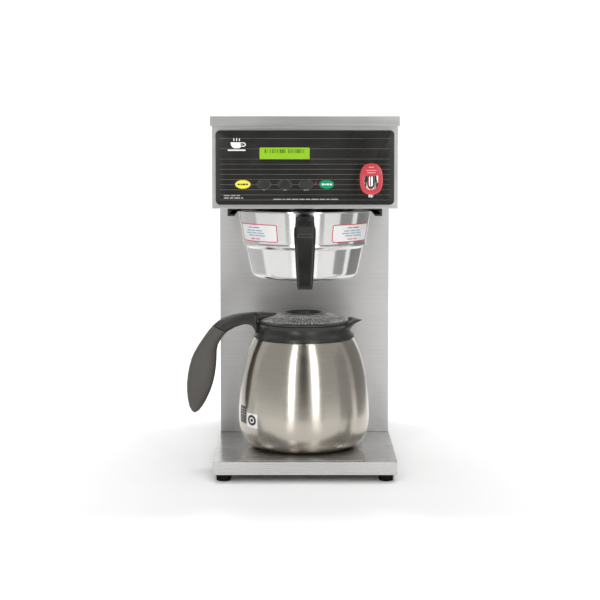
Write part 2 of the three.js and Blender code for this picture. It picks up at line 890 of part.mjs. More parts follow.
const brewer = new THREE.Group();
brewer.add(basePan(), serverPlate(), ...feet());
brewer.add(sidePanel('left_side_panel', -1), sidePanel('right_side_panel', 1));
brewer.add(columnFrontPanel(), backPanel(), ...backPanelScrews());
brewer.add(headFrontPanel(), headUndersidePanel(), topCover());
brewer.add(controlOverlay(), displayWindow(), displayModule(), controlBoard(), ...keyCaps());
brewer.add(faucet(), rail('rail_left', -1), rail('rail_right', 1), sprayHead());
brewer.add(brewCone(), carafe());
brewer.add(waterTank(), tankGasket(), tankLid(), heatingElement());
brewer.add(probe('temperature_probe', 300, 230), probe('level_probe', 350, 325));
brewer.add(...dumpValve(), sprayTube(), faucetTube(), ...inletParts());
brewer.add(limitThermostat(), cordGland());

const extent = new THREE.Box3().setFromObject(brewer);
const middle = extent.getCenter(new THREE.Vector3());
brewer.position.set(-middle.x, -middle.y, -extent.min.z);

const group = new THREE.Group();
group.add(brewer);

export default group;
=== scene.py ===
from math import cos, pi, radians, sin

import bmesh
import bpy
from mathutils import Matrix, Vector


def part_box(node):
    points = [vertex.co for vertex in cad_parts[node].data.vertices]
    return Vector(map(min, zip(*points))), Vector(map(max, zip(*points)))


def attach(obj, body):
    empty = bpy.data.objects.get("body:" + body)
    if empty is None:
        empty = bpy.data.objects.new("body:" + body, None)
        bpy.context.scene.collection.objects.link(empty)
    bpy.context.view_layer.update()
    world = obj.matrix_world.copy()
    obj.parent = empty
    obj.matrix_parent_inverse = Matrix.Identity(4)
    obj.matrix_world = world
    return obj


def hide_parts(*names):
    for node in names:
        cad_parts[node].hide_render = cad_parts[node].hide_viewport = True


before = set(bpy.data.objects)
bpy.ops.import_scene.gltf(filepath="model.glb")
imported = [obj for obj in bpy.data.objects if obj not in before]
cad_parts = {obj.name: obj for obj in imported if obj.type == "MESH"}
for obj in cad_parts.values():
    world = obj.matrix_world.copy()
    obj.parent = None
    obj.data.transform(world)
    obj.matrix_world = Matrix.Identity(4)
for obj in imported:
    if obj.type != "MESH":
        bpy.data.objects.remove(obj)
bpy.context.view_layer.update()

mm = 0.001
scene = bpy.context.scene
print("frame loaded:", len(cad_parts), "nodes")


# shader building

def newMaterial(name, color, roughness, metallic=0.0, **sockets):
    made = bpy.data.materials.new(name)
    made.use_nodes = True
    shader = made.node_tree.nodes["Principled BSDF"]
    shader.inputs["Base Color"].default_value = (*color, 1)
    shader.inputs["Roughness"].default_value = roughness
    shader.inputs["Metallic"].default_value = metallic
    for socket, value in sockets.items():
        shader.inputs[socket.replace("_", " ")].default_value = value
    return made, shader


def addNode(made, kind, inputs=None, **settings):
    node = made.node_tree.nodes.new(kind)
    for key, value in settings.items():
        setattr(node, key, value)
    for key, value in (inputs or {}).items():
        if isinstance(value, bpy.types.NodeSocket):
            made.node_tree.links.new(value, node.inputs[key])
        else:
            node.inputs[key].default_value = value
    return node


def objectPoint(made, scale=(1, 1, 1), centre=(0, 0, 0)):
    place = addNode(made, "ShaderNodeTexCoord").outputs["Object"]
    away = tuple(-c * s for c, s in zip(centre, scale))
    return addNode(made, "ShaderNodeMapping", {0: place, 1: away, 3: scale}).outputs[0]


def noise(made, scale, detail=2.0, stretch=(1, 1, 1)):
    point = objectPoint(made, stretch)
    values = {"Vector": point, "Scale": scale, "Detail": detail}
    return addNode(made, "ShaderNodeTexNoise", values).outputs["Fac"]


def remap(made, value, low, high, fromLow=0.3, fromHigh=0.7):
    ends = {0: value, 1: fromLow, 2: fromHigh, 3: low, 4: high}
    return addNode(made, "ShaderNodeMapRange", ends).outputs[0]


def calc(made, operation, first, second=0.0, third=0.0):
    return addNode(made, "ShaderNodeMath", {0: first, 1: second, 2: third}, operation=operation).outputs[0]


def times(made, first, *others):
    for other in others:
        first = calc(made, "MULTIPLY", first, other)
    return first


def blendColors(made, share, first, second):
    mix = addNode(made, "ShaderNodeMix", data_type="RGBA")
    for socket, value in zip((mix.inputs[0], mix.inputs[6], mix.inputs[7]), (share, first, second)):
        if isinstance(value, bpy.types.NodeSocket):
            made.node_tree.links.new(value, socket)
        else:
            socket.default_value = (*value, 1) if isinstance(value, tuple) else value
    return mix.outputs[2]


def wire(made, value, socket):
    made.node_tree.links.new(value, socket)


def bump(made, shader, height, depth, strength=1.0):
    node = addNode(made, "ShaderNodeBump", {"Height": height, "Distance": depth, "Strength": strength})
    wire(made, node.outputs[0], shader.inputs["Normal"])


def steelMaterial(name, color, roughness, stretch, depth=0.00001, smudge=0.05, smear=0.0, along=(0, 0, 1)):
    # stretch draws the grain out along one axis; smear draws the reflections out across it
    made, shader = newMaterial(name, color, roughness, 1.0, Anisotropic=smear)
    if smear:
        direction = addNode(made, "ShaderNodeCombineXYZ", dict(enumerate(along)))
        wire(made, direction.outputs[0], shader.inputs["Tangent"])
    grain = noise(made, 900, 4, stretch)
    cloud = noise(made, 14, 3)
    dark = tuple(c * 0.92 for c in color)
    wire(made, blendColors(made, remap(made, grain, 0, 1), dark, color), shader.inputs["Base Color"])
    brushed = remap(made, grain, roughness - smudge, roughness + smudge)
    smudged = remap(made, cloud, -smudge * 0.6, smudge * 0.6)
    wire(made, calc(made, "ADD", brushed, smudged), shader.inputs["Roughness"])
    bump(made, shader, grain, depth, 0.6)
    return made


def plasticMaterial(name, color, roughness, grainScale=1800, depth=0.00002, **sockets):
    made, shader = newMaterial(name, color, roughness, 0.0, **sockets)
    grain = noise(made, grainScale, 2)
    cloud = noise(made, 25, 3)
    lighter = tuple(min(1, c * 1.18 + 0.004) for c in color)
    wire(made, blendColors(made, remap(made, cloud, 0, 1), color, lighter), shader.inputs["Base Color"])
    wire(made, remap(made, cloud, roughness - 0.04, roughness + 0.06), shader.inputs["Roughness"])
    bump(made, shader, grain, depth, 0.5)
    return made


def stripedFilm():
    # printed panel film: fine grey lines across, closer together in the lower part
    film = {"ground": (0.014, 0.0135, 0.0125), "ink": (0.16, 0.155, 0.145), "pitch": 6.3, "first": 403.6,
            "line": 0.085, "margin": 5.0}
    low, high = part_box("control_overlay")
    made, shader = newMaterial("stripedPanelFilm", film["ground"], 0.3, Specular_IOR_Level=0.3)
    split = addNode(made, "ShaderNodeSeparateXYZ", {0: objectPoint(made)})
    x, z = split.outputs[0], split.outputs[2]
    steps = calc(made, "DIVIDE", calc(made, "SUBTRACT", z, film["first"] * mm), film["pitch"] * mm)
    near = calc(made, "LESS_THAN", calc(made, "PINGPONG", steps, 0.5), film["line"] / 2)
    wide = calc(made, "LESS_THAN", calc(made, "PINGPONG", times(made, steps, 0.5), 0.5), film["line"] / 4)
    upper = calc(made, "GREATER_THAN", z, (film["first"] + 1) * mm)
    lower = calc(made, "SUBTRACT", 1.0, upper)
    lines = calc(made, "ADD", times(made, near, lower), times(made, wide, upper))
    halfWidth = (high.x - low.x) / 2 - film["margin"] * mm
    offCentre = calc(made, "ABSOLUTE", calc(made, "SUBTRACT", x, (low.x + high.x) / 2))
    inside = calc(made, "LESS_THAN", offCentre, halfWidth)
    fade = times(made, lines, inside, remap(made, noise(made, 18, 2), 0.45, 1))
    wire(made, blendColors(made, fade, film["ground"], film["ink"]), shader.inputs["Base Color"])
    wire(made, remap(made, noise(made, 30, 3), 0.26, 0.38), shader.inputs["Roughness"])
    bump(made, shader, noise(made, 2500, 2), 0.00001, 0.4)
    return made


def litDisplay():
    # two rows of character cells on a lit green ground, the upper row partly dark
    display = {"ground": (0.27, 0.52, 0.018), "ink": (0.02, 0.09, 0.01), "cells": 20.0, "cellWidth": 0.78,
               "rowLow": 0.52, "rowHigh": 0.84, "left": 0.1, "right": 0.9, "dotColumns": 5.0, "filled": 0.47,
               "darkness": 0.75, "glow": 0.15}
    low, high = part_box("display_window")
    made, shader = newMaterial("litDisplay", display["ground"], 0.2)
    split = addNode(made, "ShaderNodeSeparateXYZ", {0: objectPoint(made, (1, 1, 1), tuple(low))})
    x = calc(made, "DIVIDE", split.outputs[0], high.x - low.x)
    z = calc(made, "DIVIDE", split.outputs[2], high.z - low.z)
    cells = times(made, x, display["cells"])
    inCell = calc(made, "LESS_THAN", calc(made, "FRACT", cells), display["cellWidth"])
    row = times(made, calc(made, "GREATER_THAN", z, display["rowLow"]),
                calc(made, "LESS_THAN", z, display["rowHigh"]))
    side = times(made, calc(made, "GREATER_THAN", x, display["left"]),
                 calc(made, "LESS_THAN", x, display["right"]))
    columns = addNode(made, "ShaderNodeTexNoise", {"Scale": 3.1, "Detail": 0.0}, noise_dimensions="1D")
    wire(made, calc(made, "FLOOR", times(made, cells, display["dotColumns"])), columns.inputs["W"])
    dots = calc(made, "GREATER_THAN", columns.outputs["Fac"], display["filled"])
    dark = times(made, inCell, row, side, dots, display["darkness"])
    color = blendColors(made, dark, display["ground"], display["ink"])
    wire(made, color, shader.inputs["Base Color"])
    wire(made, color, shader.inputs["Emission Color"])
    shader.inputs["Emission Strength"].default_value = display["glow"]
    return made


def ribbedRing(name, color, pale, centre, ring):
    # fine radial ribs on the lid's sloping top, with pale rims round the opening that are a painted highlight
    made, shader = newMaterial(name, color, 0.42)
    split = addNode(made, "ShaderNodeSeparateXYZ", {0: objectPoint(made, (1, 1, 1), centre)})
    x, y, z = split.outputs
    rib = calc(made, "PINGPONG", times(made, calc(made, "ARCTAN2", y, x), ring["ribs"] / (2 * pi)), 0.5)
    radius = calc(made, "SQRT", calc(made, "ADD", calc(made, "POWER", x, 2.0), calc(made, "POWER", y, 2.0)))
    band = times(made, calc(made, "GREATER_THAN", radius, ring["ribsInner"] * mm),
                 calc(made, "LESS_THAN", radius, ring["ribsOuter"] * mm),
                 calc(made, "GREATER_THAN", z, ring["ribsFrom"] * mm))
    share = times(made, band, remap(made, noise(made, 260, 2), 0.1, 1), remap(made, rib, 0.35, 1, 0.1, 0.4))
    # the pale rims round the opening are painted highlight rings
    for rim, width in ring["rims"]:
        paintedHighlight = times(made, calc(made, "COMPARE", radius, rim * mm, width * mm), ring["rimHighlight"])
        share = calc(made, "MAXIMUM", share, paintedHighlight)
    wire(made, blendColors(made, share, color, pale), shader.inputs["Base Color"])
    wire(made, remap(made, noise(made, 60, 2), 0.3, 0.5), shader.inputs["Roughness"])
    bump(made, shader, times(made, rib, band), ring["ribDepth"] * mm, 0.5)
    return made


def boardMaterial():
    board = {"ground": (0.008, 0.07, 0.03), "tracks": (0.05, 0.22, 0.1), "scale": 240.0}
    made, shader = newMaterial("circuitBoard", board["ground"], 0.35)
    tracks = addNode(made, "ShaderNodeTexVoronoi", {"Vector": objectPoint(made), "Scale": board["scale"]},
                     distance="MANHATTAN")
    share = remap(made, tracks.outputs["Distance"], 1, 0, 0.1, 0.35)
    wire(made, blendColors(made, share, board["ground"], board["tracks"]), shader.inputs["Base Color"])
    return made


acrossX = (0.012, 1, 1)
acrossY = (1, 0.012, 1)
brushedPanel = steelMaterial("steelBrushedPanel", (0.75, 0.745, 0.735), 0.39, acrossX, 0.000004, 0.03, 0.75)
brushedSide = steelMaterial("steelBrushedSide", (0.72, 0.715, 0.705), 0.38, acrossY, 0.000004, 0.03, 0.75)
brushedSheet = steelMaterial("steelBrushedSheet", (0.68, 0.675, 0.665), 0.36, acrossX, 0.000004, 0.03, 0.6,
                             (0, 1, 1))
panSteel = steelMaterial("steelBasePan", (0.67, 0.66, 0.65), 0.27, acrossX, 0.000004, 0.03, 0.6, (0, 1, 1))
deckSteel = steelMaterial("steelDeck", (0.56, 0.55, 0.535), 0.27, acrossX, 0.000002, 0.03, 0.7, (0, 1, 0))
polishedSteel = steelMaterial("steelPolished", (0.74, 0.735, 0.725), 0.17, (0.3, 0.3, 1), 0.000003, 0.03, 0.8)
satinSteel = steelMaterial("steelCarafeSatin", (0.57, 0.53, 0.465), 0.22, (0.04, 0.04, 1), 0.000002, 0.02,
                           0.75)
chromePlate = steelMaterial("chromePlate", (0.8, 0.8, 0.8), 0.08, (1, 1, 1), 0.000001, 0.03)
brassStock = steelMaterial("brassTurned", (0.6, 0.44, 0.16), 0.28, (1, 1, 1))
copperStock = steelMaterial("copperDrawn", (0.7, 0.34, 0.2), 0.3, (1, 1, 0.1))
blackMoulding = plasticMaterial("blackMoulding", (0.006, 0.0055, 0.005), 0.26, Specular_IOR_Level=0.4)
collarMoulding = plasticMaterial("collarMoulding", (0.018, 0.0175, 0.015), 0.33)
# grey rubber of the carafe's grip, also used as the painted highlight grey of the cone handle's pocket rim
gripRubberAndRimHighlight = plasticMaterial("gripRubberAndRimHighlight", (0.075, 0.069, 0.062), 0.62, 1500, 0.00012)
# black rubber whose colour is set darker still: painted shade for the feet in the shadow under the base; the
# carafe's pad shares it
shadedFootRubber = plasticMaterial("shadedFootRubber", (0.004, 0.004, 0.004), 0.75, 1200, 0.0001, Specular_IOR_Level=0.12)
railEnamel = plasticMaterial("railEnamel", (0.012, 0.012, 0.012), 0.4, 900, 0.00005)
redMoulding = plasticMaterial("redMoulding", (0.56, 0.06, 0.075), 0.18, 600, 0.00001, Coat_Weight=0.6,
                              Subsurface_Weight=0.25, Subsurface_Scale=0.004)
yellowPrint = plasticMaterial("yellowKeyPrint", (0.8, 0.71, 0.05), 0.38)
greenPrint = plasticMaterial("greenKeyPrint", (0.003, 0.27, 0.125), 0.38, Specular_IOR_Level=0.2)
blackPrint = plasticMaterial("blackKeyPrint", (0.014, 0.0135, 0.0125), 0.34)
greyPrint = plasticMaterial("greyLinePrint", (0.36, 0.35, 0.34), 0.5)
faintPrint = plasticMaterial("faintLinePrint", (0.1, 0.098, 0.094), 0.5)
pinkPrint = plasticMaterial("pinkPrint", (0.8, 0.3, 0.33), 0.4)
whitePrint = plasticMaterial("whitePrint", (0.8, 0.8, 0.79), 0.45)
redPrint = plasticMaterial("redPrint", (0.6, 0.02, 0.06), 0.45)
bluePrint = plasticMaterial("bluePrint", (0.3, 0.43, 0.55), 0.45)
silicone = plasticMaterial("siliconeMoulding", (0.6, 0.57, 0.5), 0.5)
panelFilm = stripedFilm()
displayGlow = litDisplay()
circuitBoard = boardMaterial()
print("materials made")


# mesh building

def finishPiece(name, bm, material, body, replaced=(), angle=32):
    mesh = bpy.data.meshes.new(name)
    bm.to_mesh(mesh)
    bm.free()
    mesh.materials.append(material)
    mesh.polygons.foreach_set("use_smooth", [True] * len(mesh.polygons))
    mesh.set_sharp_from_angle(angle=radians(angle))
    piece = bpy.data.objects.new(name, mesh)
    scene.collection.objects.link(piece)
    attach(piece, body)
    if replaced:
        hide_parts(*replaced)
    return piece


def roundEdges(bm, width, segments=2, angle=30):
    bm.edges.ensure_lookup_table()
    sharp = [e for e in bm.edges if len(e.link_faces) == 2 and e.calc_face_angle(0) > radians(angle)]
    bmesh.ops.bevel(bm, geom=sharp, offset=width * mm, offset_type="OFFSET", segments=segments, profile=0.5,
                    affect="EDGES", clamp_overlap=True, material=-1)


def curveThrough(points, parts=6):
    ends = [points[0], *points, points[-1]]
    line = []
    for a, b, c, d in zip(ends, ends[1:], ends[2:], ends[3:]):
        for i in range(parts):
            t = i / parts
            line.append(tuple(
                0.5 * (2 * q + (r - p) * t + (2 * p - 5 * q + 4 * r - s) * t * t
                       + (3 * q - p - 3 * r + s) * t ** 3)
                for p, q, r, s in zip(a, b, c, d)))
    return line + [tuple(points[-1])]


def spun(points, steps, closed=False, edge=0.0):
    # turns a (radius, height) line in millimetres about the Z axis
    bm = bmesh.new()
    verts = [bm.verts.new((r * mm, 0, z * mm)) for r, z in points]
    edges = [bm.edges.new(pair) for pair in zip(verts, verts[1:])]
    if closed:
        edges.append(bm.edges.new((verts[-1], verts[0])))
    bmesh.ops.spin(bm, geom=verts + edges, cent=(0, 0, 0), axis=(0, 0, 1), angle=2 * pi, steps=steps,
                   use_merge=True)
    bmesh.ops.remove_doubles(bm, verts=bm.verts, dist=1e-7)
    bmesh.ops.recalc_face_normals(bm, faces=bm.faces)
    if edge:
        roundEdges(bm, edge, 2, 30)
    return bm


def moved(bm, place=(0, 0, 0), turn=None, scale=(1, 1, 1)):
    matrix = Matrix.Translation(place)
    if turn is not None:
        matrix = matrix @ turn
    matrix = matrix @ Matrix.Diagonal((*scale, 1))
    bmesh.ops.transform(bm, matrix=matrix, verts=bm.verts)
    return bm


def merged(*parts):
    whole = bmesh.new()
    for part in parts:
        carrier = bpy.data.meshes.new("carrier")
        part.to_mesh(carrier)
        part.free()
        whole.from_mesh(carrier)
        bpy.data.meshes.remove(carrier)
    return whole


def block(low, high, edge=0.5, segments=2):
    bm = bmesh.new()
    bmesh.ops.create_cube(bm, size=1)
    size = Vector(high) - Vector(low)
    moved(bm, (Vector(low) + Vector(high)) / 2, None, size)
    if edge:
        roundEdges(bm, edge, segments)
    return bm


def ringEdges(ring):
    members = set(ring)
    return list({e for v in ring for e in v.link_edges if e.verts[0] in members and e.verts[1] in members})


def addRing(bm, sides, square, matrix):
    # one closed loop of a rounded-square section, placed by the matrix
    ring = bmesh.ops.create_circle(bm, cap_ends=False, radius=1, segments=sides)["verts"]
    for v in ring:
        for axis in (0, 1):
            size = abs(v.co[axis])
            v.co[axis] = (size ** (2 / square)) * (1 if v.co[axis] >= 0 else -1)
    bmesh.ops.transform(bm, matrix=matrix, verts=ring)
    return ring


def loft(stations, sides=32, square=2.6):
    # a bar between two outlines in the XZ plane; a station is (x, z) above, (x, z) below, half thickness
    bm = bmesh.new()
    rings = []
    for (x0, z0), (x1, z1), thick in stations:
        across = Vector((x0 - x1, 0, z0 - z1)) / 2 * mm
        side = Vector((0, thick * mm, 0))
        turn = Matrix((side, across, side.cross(across).normalized())).transposed().to_4x4()
        middle = Matrix.Translation(Vector((x0 + x1, 0, z0 + z1)) / 2 * mm)
        rings.append(addRing(bm, sides, square, middle @ turn))
    loops = [ringEdges(ring) for ring in rings]
    bmesh.ops.edgeloop_fill(bm, edges=loops[0])
    bmesh.ops.edgeloop_fill(bm, edges=loops[-1])
    for one, two in zip(loops, loops[1:]):
        bmesh.ops.bridge_loops(bm, edges=one + two)
    bmesh.ops.recalc_face_normals(bm, faces=bm.faces)
    return bm


def finishNode(name, material):
    # a CAD node that stays as it is gets its finish and softened edges
    soft = {"weld": 0.01, "edge": 0.35, "segments": 2, "angle": 35}
    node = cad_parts[name]
    node.data.materials.clear()
    node.data.materials.append(material)
    weld = node.modifiers.new("weld", "WELD")
    weld.merge_threshold = soft["weld"] * mm
    bevel = node.modifiers.new("bevel", "BEVEL")
    bevel.width = soft["edge"] * mm
    bevel.segments = soft["segments"]
    bevel.limit_method = "ANGLE"
    bevel.angle_limit = radians(soft["angle"])


# places and outlines

headLow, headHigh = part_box("head_front_panel")
origin = Vector(((headLow.x + headHigh.x) / 2, headLow.y, 0))
facingFront = Matrix.Rotation(pi / 2, 4, "X")
facingBack = Matrix.Rotation(-pi / 2, 4, "X")
towardFront = Matrix.Rotation(-pi / 2, 4, "Z")


def here(x, y, z):
    return origin + Vector((x, y, z)) * mm


def boxOf(name):
    # a node's box in millimetres from the middle of the head's front, at floor height
    low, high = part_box(name)
    return (low - origin) / mm, (high - origin) / mm


def axisOf(name):
    low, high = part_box(name)
    return Vector(((low.x + high.x) / 2, (low.y + high.y) / 2, 0))


def ellipse(x, y, width, height, count=48):
    turns = [2 * pi * i / count for i in range(count)]
    return [(x + width / 2 * cos(a), y + height / 2 * sin(a)) for a in turns]


def rounded(x0, y0, x1, y1, radius, parts=6):
    corners = ((x1 - radius, y1 - radius), (x0 + radius, y1 - radius),
               (x0 + radius, y0 + radius), (x1 - radius, y0 + radius))
    points = []
    for k, (x, y) in enumerate(corners):
        for i in range(parts + 1):
            angle = pi / 2 * (k + i / parts)
            points.append((x + radius * cos(angle), y + radius * sin(angle)))
    return points


def shifted(outline, across, up):
    return [(x + across, y + up) for x, y in outline]


def plate(outline, holes=(), thick=1.0, edge=0.3, segments=2):
    # a flat sheet with openings, drawn in its own XY plane and thickened upward
    bm = bmesh.new()
    edges = []
    for points in (outline, *holes):
        verts = [bm.verts.new((x * mm, y * mm, 0)) for x, y in points]
        edges += [bm.edges.new(pair) for pair in zip(verts, verts[1:] + verts[:1])]
    bmesh.ops.triangle_fill(bm, use_beauty=True, use_dissolve=False, edges=edges, normal=(0, 0, 1))
    raised = bmesh.ops.extrude_face_region(bm, geom=bm.faces[:])["geom"]
    top = [v for v in raised if isinstance(v, bmesh.types.BMVert)]
    bmesh.ops.translate(bm, vec=(0, 0, thick * mm), verts=top)
    bmesh.ops.recalc_face_normals(bm, faces=bm.faces)
    if edge:
        roundEdges(bm, edge, segments)
    return bm


def radiusAlong(line):
    # the radius of a (radius, height) line at any height
    def at(height):
        for (r0, z0), (r1, z1) in zip(line, line[1:]):
            if min(z0, z1) <= height <= max(z0, z1) and z0 != z1:
                return r0 + (r1 - r0) * (height - z0) / (z1 - z0)
        return line[-1][0]
    return at


def wrapped(bm, radiusAt, reach, heights, step=2.5):
    # lays a flat sheet (across, up, thickness) on a turned surface; across is measured in degrees
    cuts = int(reach / step)
    planes = [((i * step * mm, 0, 0), (1, 0, 0)) for i in range(-cuts, cuts + 1)]
    planes += [((0, z * mm, 0), (0, 1, 0)) for z in heights]
    for place, facing in planes:
        whole = bm.verts[:] + bm.edges[:] + bm.faces[:]
        bmesh.ops.bisect_plane(bm, geom=whole, dist=1e-7, plane_co=place, plane_no=facing)
    for v in bm.verts:
        angle = radians(v.co.x / mm - 90)
        radius = radiusAt(v.co.y / mm) + v.co.z / mm
        v.co = Vector((radius * cos(angle), radius * sin(angle), v.co.y / mm)) * mm
    bmesh.ops.recalc_face_normals(bm, faces=bm.faces)
    return bm


# sheet metal body: the CAD sheets with brushed finishes and softened edges

sheetFinishes = {
    "left_side_panel": brushedSide, "right_side_panel": brushedSide, "column_front_panel": brushedPanel,
    "back_panel": brushedPanel, "head_front_panel": brushedPanel, "head_underside_panel": deckSteel,
    "top_cover": brushedSheet, "base_pan": panSteel, "server_plate": deckSteel,
}
for name, material in sheetFinishes.items():
    finishNode(name, material)

innerFinishes = {
    "display_module": circuitBoard, "control_board": circuitBoard, "water_tank": brushedPanel,
    "tank_lid": brushedSheet, "tank_gasket": silicone, "heating_element": copperStock,
    "temperature_probe": chromePlate, "level_probe": chromePlate, "dump_valve_body": brassStock,
    "dump_valve_coil": blackMoulding, "dump_valve_plunger": chromePlate, "spray_tube": silicone,
    "faucet_tube": silicone, "inlet_valve": brassStock, "inlet_tube": copperStock,
    "limit_thermostat": blackMoulding, "faucet_nut": brassStock, "faucet_lever_pin": chromePlate,
    "rail_left": railEnamel, "rail_right": railEnamel, "carafe_base_pad": shadedFootRubber,
}
for name, material in innerFinishes.items():
    finishNode(name, material)
print("sheets and inner parts finished")


# feet

footShape = {"line": [(0, 0), (8.2, 0), (9, 0.9), (9.3, 4), (9.8, 8), (9.6, 8.8), (3.5, 8.8), (3.5, 16),
                      (0, 16)]}
for place in ("front_left", "front_right", "rear_left", "rear_right"):
    foot = moved(spun(footShape["line"], 48, edge=0.3), axisOf("foot_" + place))
    finishPiece("foot_" + place + "_turned", foot, shadedFootRubber, "brewer", ["foot_" + place])


# back fittings

screwShape = {"head": 8.0, "height": 2.0, "socket": 3.4, "edge": 0.7, "core": 6.4, "coreHeight": 0.6}
for number in (1, 2, 3, 4):
    name = "back_screw_%d" % number
    low, high = boxOf(name)
    socket = ellipse(0, 0, screwShape["socket"], screwShape["socket"], 6)
    head = plate(ellipse(0, 0, screwShape["head"], screwShape["head"], 32), [socket], screwShape["height"],
                 screwShape["edge"])
    core = plate(ellipse(0, 0, screwShape["core"], screwShape["core"], 24), (), screwShape["coreHeight"], 0)
    place = here((low.x + high.x) / 2, high.y - screwShape["height"], (low.z + high.z) / 2)
    finishPiece(name + "_head", moved(merged(head, core), place, facingBack), chromePlate, "brewer",
                [name])

glandShape = {"hexagon": 28, "hole": 9, "depth": 5, "length": 13,
              "dome": [(4.5, 5), (10.5, 5), (10.5, 7), (9.3, 9.5), (8, 12.2), (6.6, 13), (4.5, 13)]}
low, high = boxOf("cord_gland")
nut = plate(ellipse(0, 0, glandShape["hexagon"], glandShape["hexagon"], 6),
            [ellipse(0, 0, glandShape["hole"], glandShape["hole"], 32)], glandShape["depth"], 0.6)
dome = spun(glandShape["dome"], 48, closed=True, edge=0.4)
place = here((low.x + high.x) / 2, high.y - glandShape["length"], (low.z + high.z) / 2)
finishPiece("gland_moulding", moved(merged(nut, dome), place, facingBack), blackMoulding, "brewer",
            ["cord_gland"])

fittingShape = {"hexagon": 18, "bore": 6, "depth": 7, "length": 14, "neck": 6.5, "thread": 5.0, "root": 4.5,
                "from": 7.2, "threads": 6, "pitch": 1.1}
low, high = boxOf("inlet_fitting")
nut = plate(ellipse(0, 0, fittingShape["hexagon"], fittingShape["hexagon"], 6),
            [ellipse(0, 0, fittingShape["bore"], fittingShape["bore"], 24)], fittingShape["depth"], 0.5)
threadLine = [(fittingShape["bore"] / 2, fittingShape["neck"]), (fittingShape["root"], fittingShape["neck"])]
for turn in range(fittingShape["threads"]):
    z = fittingShape["from"] + turn * fittingShape["pitch"]
    threadLine += [(fittingShape["thread"], z), (fittingShape["root"], z + fittingShape["pitch"] / 2)]
threadLine += [(fittingShape["bore"] / 2, fittingShape["length"])]
thread = spun(threadLine, 40, closed=True)
place = here((low.x + high.x) / 2, high.y - fittingShape["length"], (low.z + high.z) / 2)
finishPiece("inlet_fitting_turned", moved(merged(nut, thread), place, facingBack), brassStock, "brewer",
            ["inlet_fitting"])


# control panel

overlayShape = {"corner": 5.5, "edge": 0.9, "keyGap": 0.45, "windowGap": 0.35, "shank": 17, "shankZ": 381.0}
keyNames = ("power_key", "batch_key_small", "batch_key_medium", "batch_key_large", "brew_key")
low, high = boxOf("control_overlay")
keyHoles = []
for name in keyNames:
    keyLow, keyHigh = boxOf(name)
    grown = 2 * overlayShape["keyGap"]
    keyHoles.append(ellipse((keyLow.x + keyHigh.x) / 2, (keyLow.z + keyHigh.z) / 2,
                            keyHigh.x - keyLow.x + grown, keyHigh.z - keyLow.z + grown))
windowLow, windowHigh = boxOf("display_window")
gap = overlayShape["windowGap"]
windowHole = rounded(windowLow.x - gap, windowLow.z - gap, windowHigh.x + gap, windowHigh.z + gap, 1.2, 3)
faucetAxis = axisOf("faucet_body")
faucetX = (faucetAxis.x - origin.x) / mm
shankHole = ellipse(faucetX, overlayShape["shankZ"], overlayShape["shank"], overlayShape["shank"])
sheet = plate(rounded(low.x, low.z, high.x, high.z, overlayShape["corner"], 8),
              [windowHole, shankHole, *keyHoles], high.y - low.y, overlayShape["edge"], 3)
finishPiece("panel_sheet", moved(sheet, here(0, high.y, 0), facingFront), panelFilm, "brewer",
            ["control_overlay"])
panelFront = low.y

lens = plate(rounded(windowLow.x, windowLow.z, windowHigh.x, windowHigh.z, 1, 3), (),
             windowHigh.y - windowLow.y, 0.25)
lens = moved(lens, here(0, windowHigh.y, 0), facingFront)
finishPiece("display_lens", lens, displayGlow, "brewer", ["display_window"])

keyShape = {"line": [(0, 0), (1, 0), (1, 0.55), (0.98, 0.78), (0.92, 0.92), (0.8, 0.975), (0.45, 1), (0, 1)]}
keyFinishes = [(yellowPrint, "yellow_key"), (blackPrint, "black_key"), (blackPrint, "black_key"),
               (blackPrint, "black_key"), (greenPrint, "green_key")]
for name, (material, slot) in zip(keyNames, keyFinishes):
    low, high = boxOf(name)
    centre = (low + high) / 2
    cap = moved(spun(keyShape["line"], 64), here(centre.x, high.y, centre.z), facingFront,
                ((high.x - low.x) / 2, (high.z - low.z) / 2, high.y - low.y))
    finishPiece(name + "_cap", cap, material, name, [name], 50)


def mark(name, parts, material, body, y, thick=0.06):
    # flat printed marks, each an outline with holes, standing just proud of the face at y
    sheets = [plate(outline, holes, thick, 0) for outline, holes in parts]
    return finishPiece(name, moved(merged(*sheets), here(0, y, 0), facingFront), material, body)


def bars(x0, x1, z, height, lengths, gap=1.2):
    # a row of plain dashes that fills x0..x1
    share = (x1 - x0 - gap * (len(lengths) - 1)) / sum(lengths)
    row = []
    x = x0
    for length in lengths:
        row.append((rounded(x, z - height / 2, x + length * share, z + height / 2, height * 0.3, 2), ()))
        x += length * share + gap
    return row


def rows(lines):
    return [bar for line in lines for bar in bars(*line)]


# a plain cup sign: bowl, saucer bar, handle ring and three wisps
cupSign = {
    "at": (-84, 421), "saucer": (-11, -7.4, 11, -5.6, 0.8, 3), "wisp": (-0.55, 4.6, 0.55, 8.2, 0.5, 3),
    "wisps": (-3.4, 0, 3.4), "ring": (8.2, 0.4, 6.4, 5.4, 24), "ringHole": (8.2, 0.4, 3.8, 2.9, 24),
    "bowl": [(-7.5, 3.2), (7.5, 3.2), (7.1, 0.2), (5.6, -2.6), (3.2, -4.2), (-3.2, -4.2), (-5.6, -2.6),
             (-7.1, 0.2)],
}
signX, signZ = cupSign["at"]
signParts = [(shifted(cupSign["bowl"], signX, signZ), ()),
             (shifted(rounded(*cupSign["saucer"]), signX, signZ), ()),
             (shifted(ellipse(*cupSign["ring"]), signX, signZ),
              [shifted(ellipse(*cupSign["ringHole"]), signX, signZ)])]
for shift in cupSign["wisps"]:
    signParts.append((shifted(rounded(*cupSign["wisp"]), signX + shift, signZ), ()))
mark("cup_sign", signParts, whitePrint, "brewer", panelFront)

